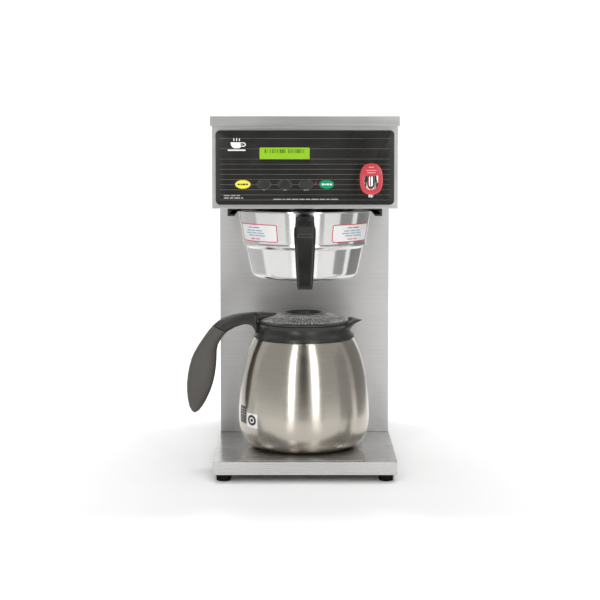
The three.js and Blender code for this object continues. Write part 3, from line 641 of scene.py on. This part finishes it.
panelMarks = {
    "foot": [(-39, 41, 354, 1.2, [9, 3, 5, 7, 6, 5, 8, 6, 4, 8])],
    "side": [(-100, -80, 358.6, 1.2, [7, 6, 4]), (-100, -76, 355.6, 1.5, [7, 5, 8, 3])],
    "ringGap": 1.5, "ringLine": 0.6, "dotZ": 365.4, "dot": 1.2, "dotPitch": 2.2,
    "tick": [(12.6, 371.6), (13.3, 371.6), (14.2, 375.4), (13.5, 375.4)],
    "keyBars": 6.3, "keyBarHeight": 2.2, "keyBarLengths": [3, 2, 4, 3],
}
mark("panel_lines", rows(panelMarks["foot"]), greyPrint, "brewer", panelFront)
mark("panel_side_lines", rows(panelMarks["side"]), greyPrint, "brewer", panelFront)

ringParts = []
dotParts = []
for count, name in enumerate(keyNames[1:4], 1):
    low, high = boxOf(name)
    centre = (low + high) / 2
    wide, tall = high.x - low.x + panelMarks["ringGap"], high.z - low.z + panelMarks["ringGap"]
    line = panelMarks["ringLine"]
    ringParts.append((ellipse(centre.x, centre.z, wide, tall, 64),
                      [ellipse(centre.x, centre.z, wide - line, tall - line, 64)]))
    for k in range(count):
        x = centre.x + (k - (count - 1) / 2) * panelMarks["dotPitch"]
        dotParts.append((ellipse(x, panelMarks["dotZ"], panelMarks["dot"], panelMarks["dot"], 16), ()))
mark("key_rings", ringParts, faintPrint, "brewer", panelFront)
mark("batch_dots", dotParts, greyPrint, "brewer", panelFront)
mark("panel_tick", [(panelMarks["tick"], ())], redPrint, "brewer", panelFront)
for name, material, slot in (("power_key", blackPrint, "yellow_key"), ("brew_key", whitePrint, "green_key")):
    low, high = boxOf(name)
    centre = (low + high) / 2
    half = panelMarks["keyBars"]
    row = bars(centre.x - half, centre.x + half, centre.z, panelMarks["keyBarHeight"],
               panelMarks["keyBarLengths"], 0.8)
    mark(name + "_bars", row, material, name, low.y + 0.02, 0.07)
print("control panel built")


# hot water faucet and its lever

faucetShape = {
    "barrel": [(0, 361), (2.3, 361), (2.5, 357), (3.3, 357), (3.6, 357.6), (3.6, 362.6), (4.4, 364.6),
               (6.4, 367.2), (7.3, 369.6), (7.5, 372), (7.5, 384.6), (6.9, 386.6), (5.4, 387.5), (0, 387.5)],
    "shank": [(0, -30), (7.5, -30), (7.5, 6), (0, 6)],
    "collar": [(7, -13.4), (10.6, -13.4), (11, -13), (11, -11.4), (10, -10.8), (7, -10.8)],
    "lugLow": (-3, -3.5, 386), "lugHigh": (3, 3.5, 396.5), "shankZ": 381.0, "front": 16,
}
barrel = spun(faucetShape["barrel"], 64, edge=0.25)
shankPlace = (0, 0, faucetShape["shankZ"] * mm)
shank = moved(spun(faucetShape["shank"], 48), shankPlace, facingFront)
collar = moved(spun(faucetShape["collar"], 64, closed=True), shankPlace, facingFront)
lug = block(Vector(faucetShape["lugLow"]) * mm, Vector(faucetShape["lugHigh"]) * mm, 0.8, 3)
faucet = moved(merged(barrel, shank, collar, lug), (faucetAxis.x, origin.y - faucetShape["front"] * mm, 0))
finishPiece("faucet_turned", faucet, chromePlate, "brewer", ["faucet_body"])

leverShape = {
    "outer": [(0, 399), (5.4, 398.2), (9.6, 395.4), (12.4, 390.5), (13.7, 383.5), (13.8, 376.5),
              (12.9, 370.2), (10.4, 365), (6, 361.9), (0, 361)],
    "window": [(0, 384.2), (5.6, 384.1), (7.9, 383.3), (8.5, 381), (8.5, 375.4), (7.8, 371.6), (5.6, 368.6),
               (3, 367.3), (0, 367)],
    "front": -33, "thick": 7, "edge": 2.1, "cheekLow": (-2, -29, 389.5), "cheekHigh": (2, -13, 396.5),
    "cheeks": (5.7, -5.7), "bars": [(3.2, 394.4), (6.2, 390.6), (5, 387.8)], "bar": 0.55,
}


def mirroredLine(points, parts=4):
    half = curveThrough(points, parts)
    return half + [(-x, z) for x, z in reversed(half[1:-1])]


loop = plate(mirroredLine(leverShape["outer"]), [mirroredLine(leverShape["window"])], leverShape["thick"],
             leverShape["edge"], 4)
loopBack = leverShape["front"] + leverShape["thick"]
loop = moved(loop, (faucetAxis.x, origin.y + loopBack * mm, 0), facingFront)
low, high = Vector(leverShape["cheekLow"]), Vector(leverShape["cheekHigh"])
cheeks = []
for middle in leverShape["cheeks"]:
    aside = Vector((faucetX + middle, 0, 0))
    cheeks.append(block(here(*(low + aside)), here(*(high + aside)), 1.2, 3))
finishPiece("lever_loop", merged(loop, *cheeks), redMoulding, "faucet_lever",
            ["faucet_lever"], 45)
half = leverShape["bar"]
leverBars = []
for wide, z in leverShape["bars"]:
    leverBars.append((rounded(faucetX - wide, z - half, faucetX + wide, z + half, 0.5, 3), ()))
mark("lever_bars", leverBars, pinkPrint, "faucet_lever", leverShape["front"], 0.12)
print("faucet built")


# brew cone, its handle and basket, and the spray head

coneAxis = axisOf("cone_shell")
coneShape = {
    "rim": [(85.8, 335.1), (91.6, 335.1), (92, 335.5), (92, 336.6), (91.6, 337), (84.6, 337), (84.3, 336)],
    "inside": [(84.2, 333), (78.2, 295.4), (77.8, 292.6), (74.1, 288), (73.3, 283.5), (68.7, 262), (67, 256),
               (62.4, 251), (57, 249.3), (39, 248.9), (4, 248.7)],
    "outlet": [(4, 241.8), (5.3, 241.8), (6.5, 245.5), (40, 245.8), (41, 247.6), (57, 247.9)],
    "upper": [(85.6, 333), (79.3, 295.4)],
    "ridge": [(79.7, 294.4), (80, 293), (79.3, 291.4), (77, 289.6), (75.6, 287.8)],
    "lower": [(74.8, 284), (70, 261.5), (68.8, 256), (67, 251.8), (63.2, 249), (57.5, 248)],
}
coneOuter = [*coneShape["upper"], *coneShape["ridge"], *coneShape["lower"]]
wall = [*coneShape["rim"], *coneShape["inside"], *coneShape["outlet"],
        *reversed(curveThrough(coneShape["lower"], 4)[:-1]), *reversed(coneShape["ridge"]),
        *reversed(coneShape["upper"])]
cone = moved(spun(wall, 128, closed=True), coneAxis)
finishPiece("cone_spun", cone, polishedSteel, "brew_cone", ["cone_shell"], 24)

labelShape = {
    "low": 297.6, "high": 320.4, "width": 50, "turn": 50, "corner": 2.4, "border": 1.1, "thick": 0.08,
    "blueRows": [(-13, 9, 312, 1.5, [5, 4, 6]), (-15, 11, 308.8, 1.5, [7, 5, 6]),
                 (-11, 12, 305.6, 1.5, [6, 8])],
    "redRows": [(-9, 6, 315.8, 1.1, [4, 6]), (-8, 5, 301.4, 1.1, [5, 4])],
}
coneRadius = radiusAlong(coneOuter)


def bentPiece(name, parts, material, lift, surface, reach, heights, axis, turn, body):
    # a printed sheet laid on a turned surface, lift millimetres proud of it
    sheets = [plate(outline, holes, labelShape["thick"], 0) for outline, holes in parts]
    bent = wrapped(moved(merged(*sheets), (0, 0, lift * mm)), surface, reach, heights)
    finishPiece(name, moved(bent, axis, Matrix.Rotation(radians(turn), 4, "Z")), material, body)


def coneLabel(name, turn, parts, material, lift):
    bentPiece(name, parts, material, lift, coneRadius, labelShape["width"] / 2, (), coneAxis, turn,
              "brew_cone")


half = labelShape["width"] / 2
low, high = labelShape["low"], labelShape["high"]
corner, inset = labelShape["corner"], labelShape["border"]
edgeLine = rounded(-half, low, half, high, corner, 5)
fieldLine = rounded(-half + inset * 0.7, low + inset, half - inset * 0.7, high - inset, corner * 0.6, 5)
for name, turn in (("left", -labelShape["turn"]), ("right", labelShape["turn"])):
    coneLabel("label_border_" + name, turn, [(edgeLine, [fieldLine])], redPrint, 0.05)
    coneLabel("label_field_" + name, turn, [(edgeLine, ())], whitePrint, 0.02)
    coneLabel("label_rows_" + name, turn, rows(labelShape["blueRows"]), bluePrint, 0.1)
    coneLabel("label_bars_" + name, turn, rows(labelShape["redRows"]), redPrint, 0.1)

gripShape = {
    "stations": [((8.6, 328.2), (5.4, 323.6), 11.2), ((10.4, 326.8), (5, 320.8), 11.7),
                 ((11.4, 321.8), (5.6, 316.6), 12.2), ((12.8, 319.6), (7, 313.4), 13.3),
                 ((18.2, 313.6), (9.4, 309.6), 13.5), ((28.4, 290.2), (19.8, 286.4), 12.1),
                 ((40, 263.8), (31.2, 260.2), 10.6), ((44, 253.4), (35.8, 249.8), 9.8),
                 ((44.4, 249.6), (37.2, 247.6), 9.5), ((43, 246.6), (39, 245.8), 8.9)],
    "mountLow": (-17.5, -11.4, 321), "mountHigh": (9.5, 11.4, 333), "mountEdge": 1.6,
    "pocketAt": (19.4, 0, 309.8), "pocketTilt": 66, "pocket": (2.4, 9.2), "pocketRim": 0.7,
}
grip = loft(gripShape["stations"], 64, 7)
mount = block(Vector(gripShape["mountLow"]) * mm, Vector(gripShape["mountHigh"]) * mm,
              gripShape["mountEdge"], 3)
handleRoot = Vector((coneAxis.x, origin.y, 0))
handle = moved(merged(grip, mount), handleRoot, towardFront)
pocketHigh, pocketWide = gripShape["pocket"]
holeHigh, holeWide = pocketHigh - gripShape["pocketRim"], pocketWide - gripShape["pocketRim"]
pocket = plate(rounded(-pocketHigh, -pocketWide, pocketHigh, pocketWide, 0.9, 4),
               [rounded(-holeHigh, -holeWide, holeHigh, holeWide, 0.5, 4)], 0.6, 0.2)
pocketTurn = Matrix.Rotation(radians(gripShape["pocketTilt"]), 4, "Y")
pocket = moved(moved(pocket, Vector(gripShape["pocketAt"]) * mm, pocketTurn), handleRoot, towardFront)
# the pocket's rim is real, but its lighter grey against the black handle is a painted highlight along the
# pocket's edges
finishPiece("grip_pocket_rim", pocket, gripRubberAndRimHighlight, "brew_cone")
finishPiece("cone_grip", handle, blackMoulding, "brew_cone", ["cone_handle"], 40)

basketShape = {"top": (80, 330.4), "foot": (51.6, 254.6), "rings": 4, "wires": 28, "wire": 0.75,
               "ringWire": 0.8, "topWire": 1.0, "hub": 20}


def wireRing(radius, z, wireRadius):
    line = [(radius + wireRadius * cos(a), z + wireRadius * sin(a)) for a in (i * pi / 4 for i in range(8))]
    return spun(line, 72, closed=True)


def wireBetween(one, two, wireRadius):
    bm = bmesh.new()
    along = Vector(two) - Vector(one)
    turn = along.to_track_quat("Z", "Y").to_matrix().to_4x4()
    middle = Matrix.Translation((Vector(one) + Vector(two)) / 2 * mm) @ turn
    bmesh.ops.create_cone(bm, cap_ends=True, segments=8, radius1=wireRadius * mm, radius2=wireRadius * mm,
                          depth=along.length * mm, matrix=middle)
    return bm


wires = []
(topR, topZ), (footR, footZ) = basketShape["top"], basketShape["foot"]
for k in range(basketShape["rings"]):
    share = k / (basketShape["rings"] - 1)
    thick = basketShape["topWire"] if k == 0 else basketShape["ringWire"]
    wires.append(wireRing(topR + (footR - topR) * share, topZ + (footZ - topZ) * share, thick))
wires.append(wireRing(basketShape["hub"], footZ, basketShape["ringWire"]))
for k in range(basketShape["wires"]):
    c, s = cos(2 * pi * k / basketShape["wires"]), sin(2 * pi * k / basketShape["wires"])
    atFoot = (footR * c, footR * s, footZ)
    wires.append(wireBetween((topR * c, topR * s, topZ), atFoot, basketShape["wire"]))
    if k % 2 == 0:
        inner = basketShape["hub"]
        wires.append(wireBetween((inner * c, inner * s, footZ), atFoot, basketShape["wire"]))
finishPiece("wire_basket", moved(merged(*wires), coneAxis), polishedSteel, "brew_cone",
            ["filter_basket"], 60)

sprayShape = {
    "line": [(0, 338), (30.5, 338), (32.6, 338.2), (33.8, 338.9), (34, 339.8), (33, 340.7), (14, 341.9),
             (12, 342), (5, 342), (5, 352), (0, 352)],
    "stud": [(1.1, 337.3), (2.1, 337.3), (2.4, 338.2), (1.1, 338.2)], "holes": 12, "ring": 22,
}
disc = spun(sprayShape["line"], 72)
studs = []
for x, y in ellipse(0, 0, 2 * sprayShape["ring"], 2 * sprayShape["ring"], sprayShape["holes"]):
    studs.append(moved(spun(sprayShape["stud"], 16, closed=True), (x * mm, y * mm, 0)))
finishPiece("spray_disc", moved(merged(disc, *studs), axisOf("spray_head")), silicone, "brewer",
            ["spray_head"])
print("brew cone built")


# carafe: vessel, collar with its spout, handle

carafeAxis = axisOf("carafe_vessel")
vesselShape = {
    "foot": [(0, 30.2), (57.6, 30.2), (58.5, 28), (59.6, 27.6), (60.8, 27.7)],
    "body": [(63, 28), (69.4, 30.2), (74.4, 33.8), (78.6, 39.4), (81.9, 47), (84.2, 57), (85, 67.5),
             (84.9, 78), (83.6, 95.6), (81.4, 113.2), (78.2, 130.6), (73.8, 147.8), (70.2, 157.4),
             (65.4, 167.6)],
    "neck": [(63.8, 170.2), (62, 171.6), (56.4, 173.4), (55.5, 174.4), (55.5, 184)],
    "inside": [(52.5, 184), (52.5, 173.6), (60.9, 167), (66, 157), (70.6, 146.6), (75.6, 130), (78.2, 112.8),
               (81, 95), (81.7, 78), (81.6, 67), (80.9, 57.6), (78.6, 49), (74.5, 42.2), (70.4, 37),
               (65.5, 33.4), (0, 33.4)],
}
bodyLine = curveThrough(vesselShape["body"], 4)
vessel = spun([*vesselShape["foot"], *bodyLine, *vesselShape["neck"], *vesselShape["inside"]], 144)
finishPiece("vessel_spun", moved(vessel, carafeAxis), satinSteel, "carafe",
            ["carafe_vessel"], 40)

stickerShape = {
    "reach": 14, "plainTurn": -67, "discTurn": -51.5, "plain": (-6.5, 63, 6.5, 85, 0.8, 3),
    "rows": [(-4, 4, 81, 1.1, [3, 2]), (-4, 4, 77.6, 1.1, [2, 4]), (-4, 4, 74.2, 1.1, [4, 2])],
    "square": (-7.2, 60, 7.2, 78, 0.8, 3), "disc": (0, 69.6, 11.4, 13.6, 40),
    "discHole": (0, 69.6, 6.4, 7.6, 32), "dot": (0, 69.6, 3.6, 4.4, 24),
}
stickerRadius = radiusAlong(bodyLine)


def sticker(name, turn, parts, material, lift):
    bentPiece(name, parts, material, lift, stickerRadius, stickerShape["reach"], [z for _, z in bodyLine],
              carafeAxis, stickerShape[turn], "carafe")


discParts = [(ellipse(*stickerShape["disc"]), [ellipse(*stickerShape["discHole"])]),
             (ellipse(*stickerShape["dot"]), ())]
sticker("sticker_plain", "plainTurn", [(rounded(*stickerShape["plain"]), ())], blackPrint, 0.02)
sticker("sticker_rows", "plainTurn", rows(stickerShape["rows"]), greyPrint, 0.1)
sticker("sticker_square", "discTurn", [(rounded(*stickerShape["square"]), ())], whitePrint, 0.02)
sticker("sticker_disc", "discTurn", discParts, blackPrint, 0.1)

collarShape = {
    "line": [(62.4, 171.2), (64.7, 170.3), (65.6, 170.8), (65.7, 172), (64.6, 174), (62.4, 176.6),
             (60.4, 179.4), (58.9, 182.6), (59, 185.4), (59.8, 187.4), (60, 188.4), (59.6, 189), (56, 189),
             (56, 174.2)],
    "spout": [((50, 193), (50, 176), 27), ((57, 194.6), (57, 178.4), 23.5),
              ((61, 195.4), (61, 181.2), 19.5), ((64, 195.2), (64, 184.8), 16),
              ((67.5, 194.3), (67.5, 187.8), 11.8), ((71, 193.4), (71, 189.8), 7.6),
              ((74, 192.7), (74, 191.1), 4), ((76, 192.3), (76, 191.8), 1.2)],
    "lidRoom": 60.2, "wallMiddle": 57, "wallTop": 188.5,
}
ring = spun(collarShape["line"], 144, closed=True)
spout = loft(collarShape["spout"], 64, 2.4)
for v in spout.verts:
    # the spout's root wraps the lid above the collar and stays inside the collar's wall below it
    least = collarShape["lidRoom"] if v.co.z > collarShape["wallTop"] * mm else collarShape["wallMiddle"]
    out = max(1, least * mm / Vector((v.co.x, v.co.y)).length)
    v.co.x, v.co.y = v.co.x * out, v.co.y * out
finishPiece("collar_moulding", moved(merged(ring, spout), carafeAxis), collarMoulding, "carafe",
            ["carafe_collar"], 35)

armShape = {"stations": [
    ((-56.6, 188.4), (-56.6, 174.6), 10.5), ((-60.4, 188.6), (-61, 173.6), 11.6),
    ((-60.9, 201.6), (-62.4, 173.6), 12.4), ((-63, 202), (-63.6, 177.4), 12.5),
    ((-67, 201.8), (-66.6, 183.6), 12.5), ((-72, 201.3), (-71, 186.3), 12.5),
    ((-78, 200.8), (-76.6, 186.9), 12.5), ((-85.6, 200), (-82.4, 185.6), 12.5),
    ((-92.8, 198.6), (-88.4, 183.4), 12.5), ((-99.8, 196.6), (-93.6, 180.6), 12.5),
    ((-105.9, 194.2), (-97, 178.8), 12.5), ((-112.2, 190.2), (-98.8, 177.8), 12.5),
    ((-117.1, 186.1), (-99.4, 177.3), 12.4),
]}
arm = loft(armShape["stations"], 48, 4)
finishPiece("handle_arm_moulding", moved(arm, carafeAxis), collarMoulding, "carafe",
            ["carafe_handle_arm"], 45)

gripLoft = {"stations": [
    ((-117.9, 185.3), (-100.1, 176.6), 12.3), ((-119, 184.3), (-100.9, 175.8), 12.9),
    ((-125, 177.2), (-104.7, 171.6), 12.9), ((-131.9, 167.6), (-108.8, 165.8), 12.9),
    ((-137.6, 159), (-111.9, 159.6), 12.9), ((-142.7, 150), (-113.5, 152.4), 12.9),
    ((-146.4, 141.8), (-113.8, 143.5), 12.9), ((-149.1, 132.7), (-114.4, 132.6), 12.9),
    ((-151.4, 121), (-116, 121), 12.9), ((-152.6, 108.9), (-118.8, 108.6), 12.8),
    ((-152.5, 99), (-122.2, 99), 12.6), ((-151.7, 89.5), (-126.8, 89), 12.1),
    ((-149.6, 79.4), (-132.2, 79.6), 10.8), ((-146.4, 73.4), (-137, 73.6), 8.4),
    ((-143.6, 70.9), (-140.6, 71.1), 4),
]}
gripBody = loft(gripLoft["stations"], 48, 3)
finishPiece("handle_grip_moulding", moved(gripBody, carafeAxis), gripRubberAndRimHighlight, "carafe",
            ["carafe_grip"], 55)
print("carafe built")


# carafe lid: moulded body with a ribbed ring, grate and gasket

lidShape = {
    "line": [(8, 176), (50.4, 176), (50.8, 176.4), (50.8, 178.4), (49.4, 178.4), (49.4, 181.6), (50.8, 181.6),
             (50.8, 184.6), (55.2, 184.6), (55.5, 185), (55.5, 189.4), (59, 189.4), (59.5, 189.9),
             (59.5, 191.6), (58.7, 192.6), (52, 195.5), (46, 197.3), (45.2, 197.2), (44.6, 197.6),
             (30, 201.8), (29, 202.4), (28, 202.6), (25.2, 202.6), (24.6, 202.4), (23.2, 200.8),
             (23, 200.2), (23, 195), (10, 190)],
    "ribs": 84, "ribsInner": 30, "ribsOuter": 57.5, "ribsFrom": 191.8, "ribDepth": 0.2,
    # rims: radius and width of the painted highlight rings round the opening, then how pale they are painted
    "rims": [(26.6, 1.5), (38, 0.8)], "rimHighlight": 0.62,
    "tab": [((-60.4, 201.8), (-60.4, 193.2), 12.2), ((-54, 201.8), (-54, 193.2), 11.8),
            ((-46, 201.4), (-46, 194.4), 10.4), ((-39, 201), (-39, 196.4), 8.4),
            ((-35, 200.6), (-35.4, 198), 6.4)],
}
lidMaterial = ribbedRing("lidMoulding", (0.03, 0.029, 0.027), (0.6, 0.6, 0.59), tuple(carafeAxis), lidShape)
lid = spun(lidShape["line"], 144, closed=True)
finishPiece("lid_moulding", moved(lid, carafeAxis), lidMaterial, "carafe_lid", ["lid_body"],
            28)
tab = moved(loft(lidShape["tab"], 40, 5), carafeAxis)
finishPiece("lid_tab", tab, collarMoulding, "carafe_lid", (), 45)

grateShape = {"radius": 22.5, "z": 195.4, "thick": 2, "slots": 10, "ring": (7.5, 20), "open": 0.62}
slots = []
for k in range(grateShape["slots"]):
    middle = 2 * pi * k / grateShape["slots"]
    inner, outer = grateShape["ring"]
    half = pi / grateShape["slots"] * grateShape["open"]
    arcs = [(outer, half * step / 2) for step in range(-2, 3)] + [(inner, half), (inner, -half)]
    slots.append([(r * cos(middle + a), r * sin(middle + a)) for r, a in arcs])
size = 2 * grateShape["radius"]
grate = plate(ellipse(0, 0, size, size, 64), slots, grateShape["thick"], 0.3)
finishPiece("grate_moulding", moved(grate, carafeAxis + Vector((0, 0, grateShape["z"] * mm))), blackMoulding,
            "carafe_lid", ["lid_grate"])

gasketShape = {"line": [(49.7, 178.7), (51, 178.7), (52, 179.2), (52.1, 180), (52, 180.8), (51, 181.3),
                        (49.7, 181.3)]}
gasket = spun(gasketShape["line"], 96, closed=True)
finishPiece("gasket_moulding", moved(gasket, carafeAxis), silicone, "carafe_lid", ["lid_gasket"])
print("lid built")


# floor, lights and camera

sweep = {"near": -4.0, "far": 2.6, "rise": 3.5, "radius": 1.4, "halfWidth": 5.0, "steps": 16}
sweepLine = [(sweep["near"], 0), (sweep["far"], 0)]
for i in range(1, sweep["steps"] + 1):
    angle = pi / 2 * i / sweep["steps"]
    sweepLine.append((sweep["far"] + sweep["radius"] * sin(angle), sweep["radius"] * (1 - cos(angle))))
sweepLine.append((sweep["far"] + sweep["radius"], sweep["rise"]))
bm = bmesh.new()
row = [bm.verts.new((-sweep["halfWidth"], y, z)) for y, z in sweepLine]
edges = [bm.edges.new(pair) for pair in zip(row, row[1:])]
side = bmesh.ops.extrude_edge_only(bm, edges=edges)["geom"]
side = [v for v in side if isinstance(v, bmesh.types.BMVert)]
bmesh.ops.translate(bm, vec=(2 * sweep["halfWidth"], 0, 0), verts=side)
bmesh.ops.recalc_face_normals(bm, faces=bm.faces)
floorMaterial, floorShader = newMaterial("paperFloor", (0.94, 0.94, 0.94), 0.9)
floorGrain = remap(floorMaterial, noise(floorMaterial, 3, 2), 0.86, 0.94)
wire(floorMaterial, floorGrain, floorShader.inputs["Roughness"])
floorMesh = bpy.data.meshes.new("paper_sweep")
bm.to_mesh(floorMesh)
bm.free()
floorMesh.materials.append(floorMaterial)
floorMesh.polygons.foreach_set("use_smooth", [True] * len(floorMesh.polygons))
floorPiece = bpy.data.objects.new("paper_sweep", floorMesh)
scene.collection.objects.link(floorPiece)


def softbox(name, place, target, width, height, power):
    lamp = bpy.data.lights.new(name, "AREA")
    lamp.shape = "RECTANGLE"
    lamp.size, lamp.size_y = width, height
    lamp.energy = power
    holder = bpy.data.objects.new(name, lamp)
    holder.location = place
    holder.rotation_euler = (Vector(target) - Vector(place)).to_track_quat("-Z", "Y").to_euler()
    scene.collection.objects.link(holder)


lookAt = (origin.x, origin.y + 0.1, 1.1)
# name, place, target, width, height, power
lights = [
    ("softboxRight", (0.84, -2.3, 1.35), lookAt, 0.5, 2.6, 16),
    ("softboxLeft", (-0.88, -2.3, 1.35), lookAt, 0.36, 2.6, 17),
    ("softboxTop", (0.45, -0.75, 2.1), (0, -0.5, 0), 1.5, 0.9, 5),
    ("sweepWash", (0, 0.9, 2.8), (0, 2.2, 0.2), 4.5, 0.8, 95),
]
for light in lights:
    softbox(*light)


# cards that only show as reflections in the polished steel
def stageCard(name, bm, grey, glow=0.0):
    cardMaterial, cardShader = newMaterial(name, (grey, grey, grey), 0.8)
    cardShader.inputs["Emission Color"].default_value = (1, 1, 1, 1)
    cardShader.inputs["Emission Strength"].default_value = glow
    mesh = bpy.data.meshes.new(name)
    bm.to_mesh(mesh)
    bm.free()
    mesh.materials.append(cardMaterial)
    card = bpy.data.objects.new(name, mesh)
    card.visible_camera = card.visible_diffuse = card.visible_shadow = False
    scene.collection.objects.link(card)


# name: low corner, high corner, grey
flags = {
    "flagMiddle": ((-0.42, -3.02, 0.0), (0.42, -3.0, 2.9), 0.05),
    "flagRight": ((0.5, -0.02, 0.0), (0.51, 1.1, 0.6), 0.26),
    "flagRightFront": ((0.5, -0.36, 0.0), (0.51, -0.12, 0.4), 0.36),
    "flagLeft": ((-0.51, -0.1, 0.0), (-0.5, 1.1, 0.5), 0.62),
    "flagBackLeft": ((-1.1, 0.7, 0.0), (-0.17, 0.71, 0.5), 0.4),
    "flagBackRight": ((0.17, 0.7, 0.0), (1.1, 0.71, 0.5), 0.4),
}
for name, (low, high, grey) in flags.items():
    stageCard(name, block(low, high, 0), grey)

# wedges on the floor round the carafe's axis
# name: direction and half width at both ends in degrees, near and far distance, height, grey, glow
floorCards = {
    "cardNear": (0, 80, 80, 290, 580, 2, 0.36, 0.0),
    "cardFar": (0, 34, 34, 760, 2900, 2, 0.4, 0.0),
    "stripLeftNear": (-21, 5, 5, 260, 540, 4, 0.8, 0.9),
    "stripLeftFar": (-21, 5, 5, 790, 2200, 4, 0.8, 0.9),
    "stripRightNear": (20, 6, 6, 260, 540, 4, 0.8, 0.7),
    "stripRightFar": (20, 6, 6, 790, 2200, 4, 0.8, 0.7),
}
for name, (turn, nearHalf, farHalf, near, far, height, grey, glow) in floorCards.items():
    corners = ((near, -nearHalf), (near, nearHalf), (far, farHalf), (far, -farHalf))
    outline = [(r * sin(radians(turn + a)), -r * cos(radians(turn + a))) for r, a in corners]
    stageCard(name, moved(plate(outline, (), 1, 0), carafeAxis + Vector((0, 0, height * mm))), grey, glow)

world = bpy.data.worlds.new("studio")
world.use_nodes = True
background = world.node_tree.nodes["Background"]
background.inputs["Color"].default_value = (1, 1, 1, 1)
background.inputs["Strength"].default_value = 0.44
scene.world = world
scene.view_settings.view_transform = "Standard"

cameraPlace = {"x": -6.04, "y": -2021.55, "z": 449.42, "pitch": 4.07, "lens": 98.33, "shift": -0.1028}
camera = bpy.data.cameras.new("camera")
camera.lens = cameraPlace["lens"]
camera.shift_y = cameraPlace["shift"]
cameraHolder = bpy.data.objects.new("camera", camera)
cameraHolder.location = here(cameraPlace["x"], cameraPlace["y"], cameraPlace["z"])
cameraHolder.rotation_euler = (radians(90 - cameraPlace["pitch"]), 0, 0)
scene.collection.objects.link(cameraHolder)
scene.camera = cameraHolder
print("floor, lights and camera set")
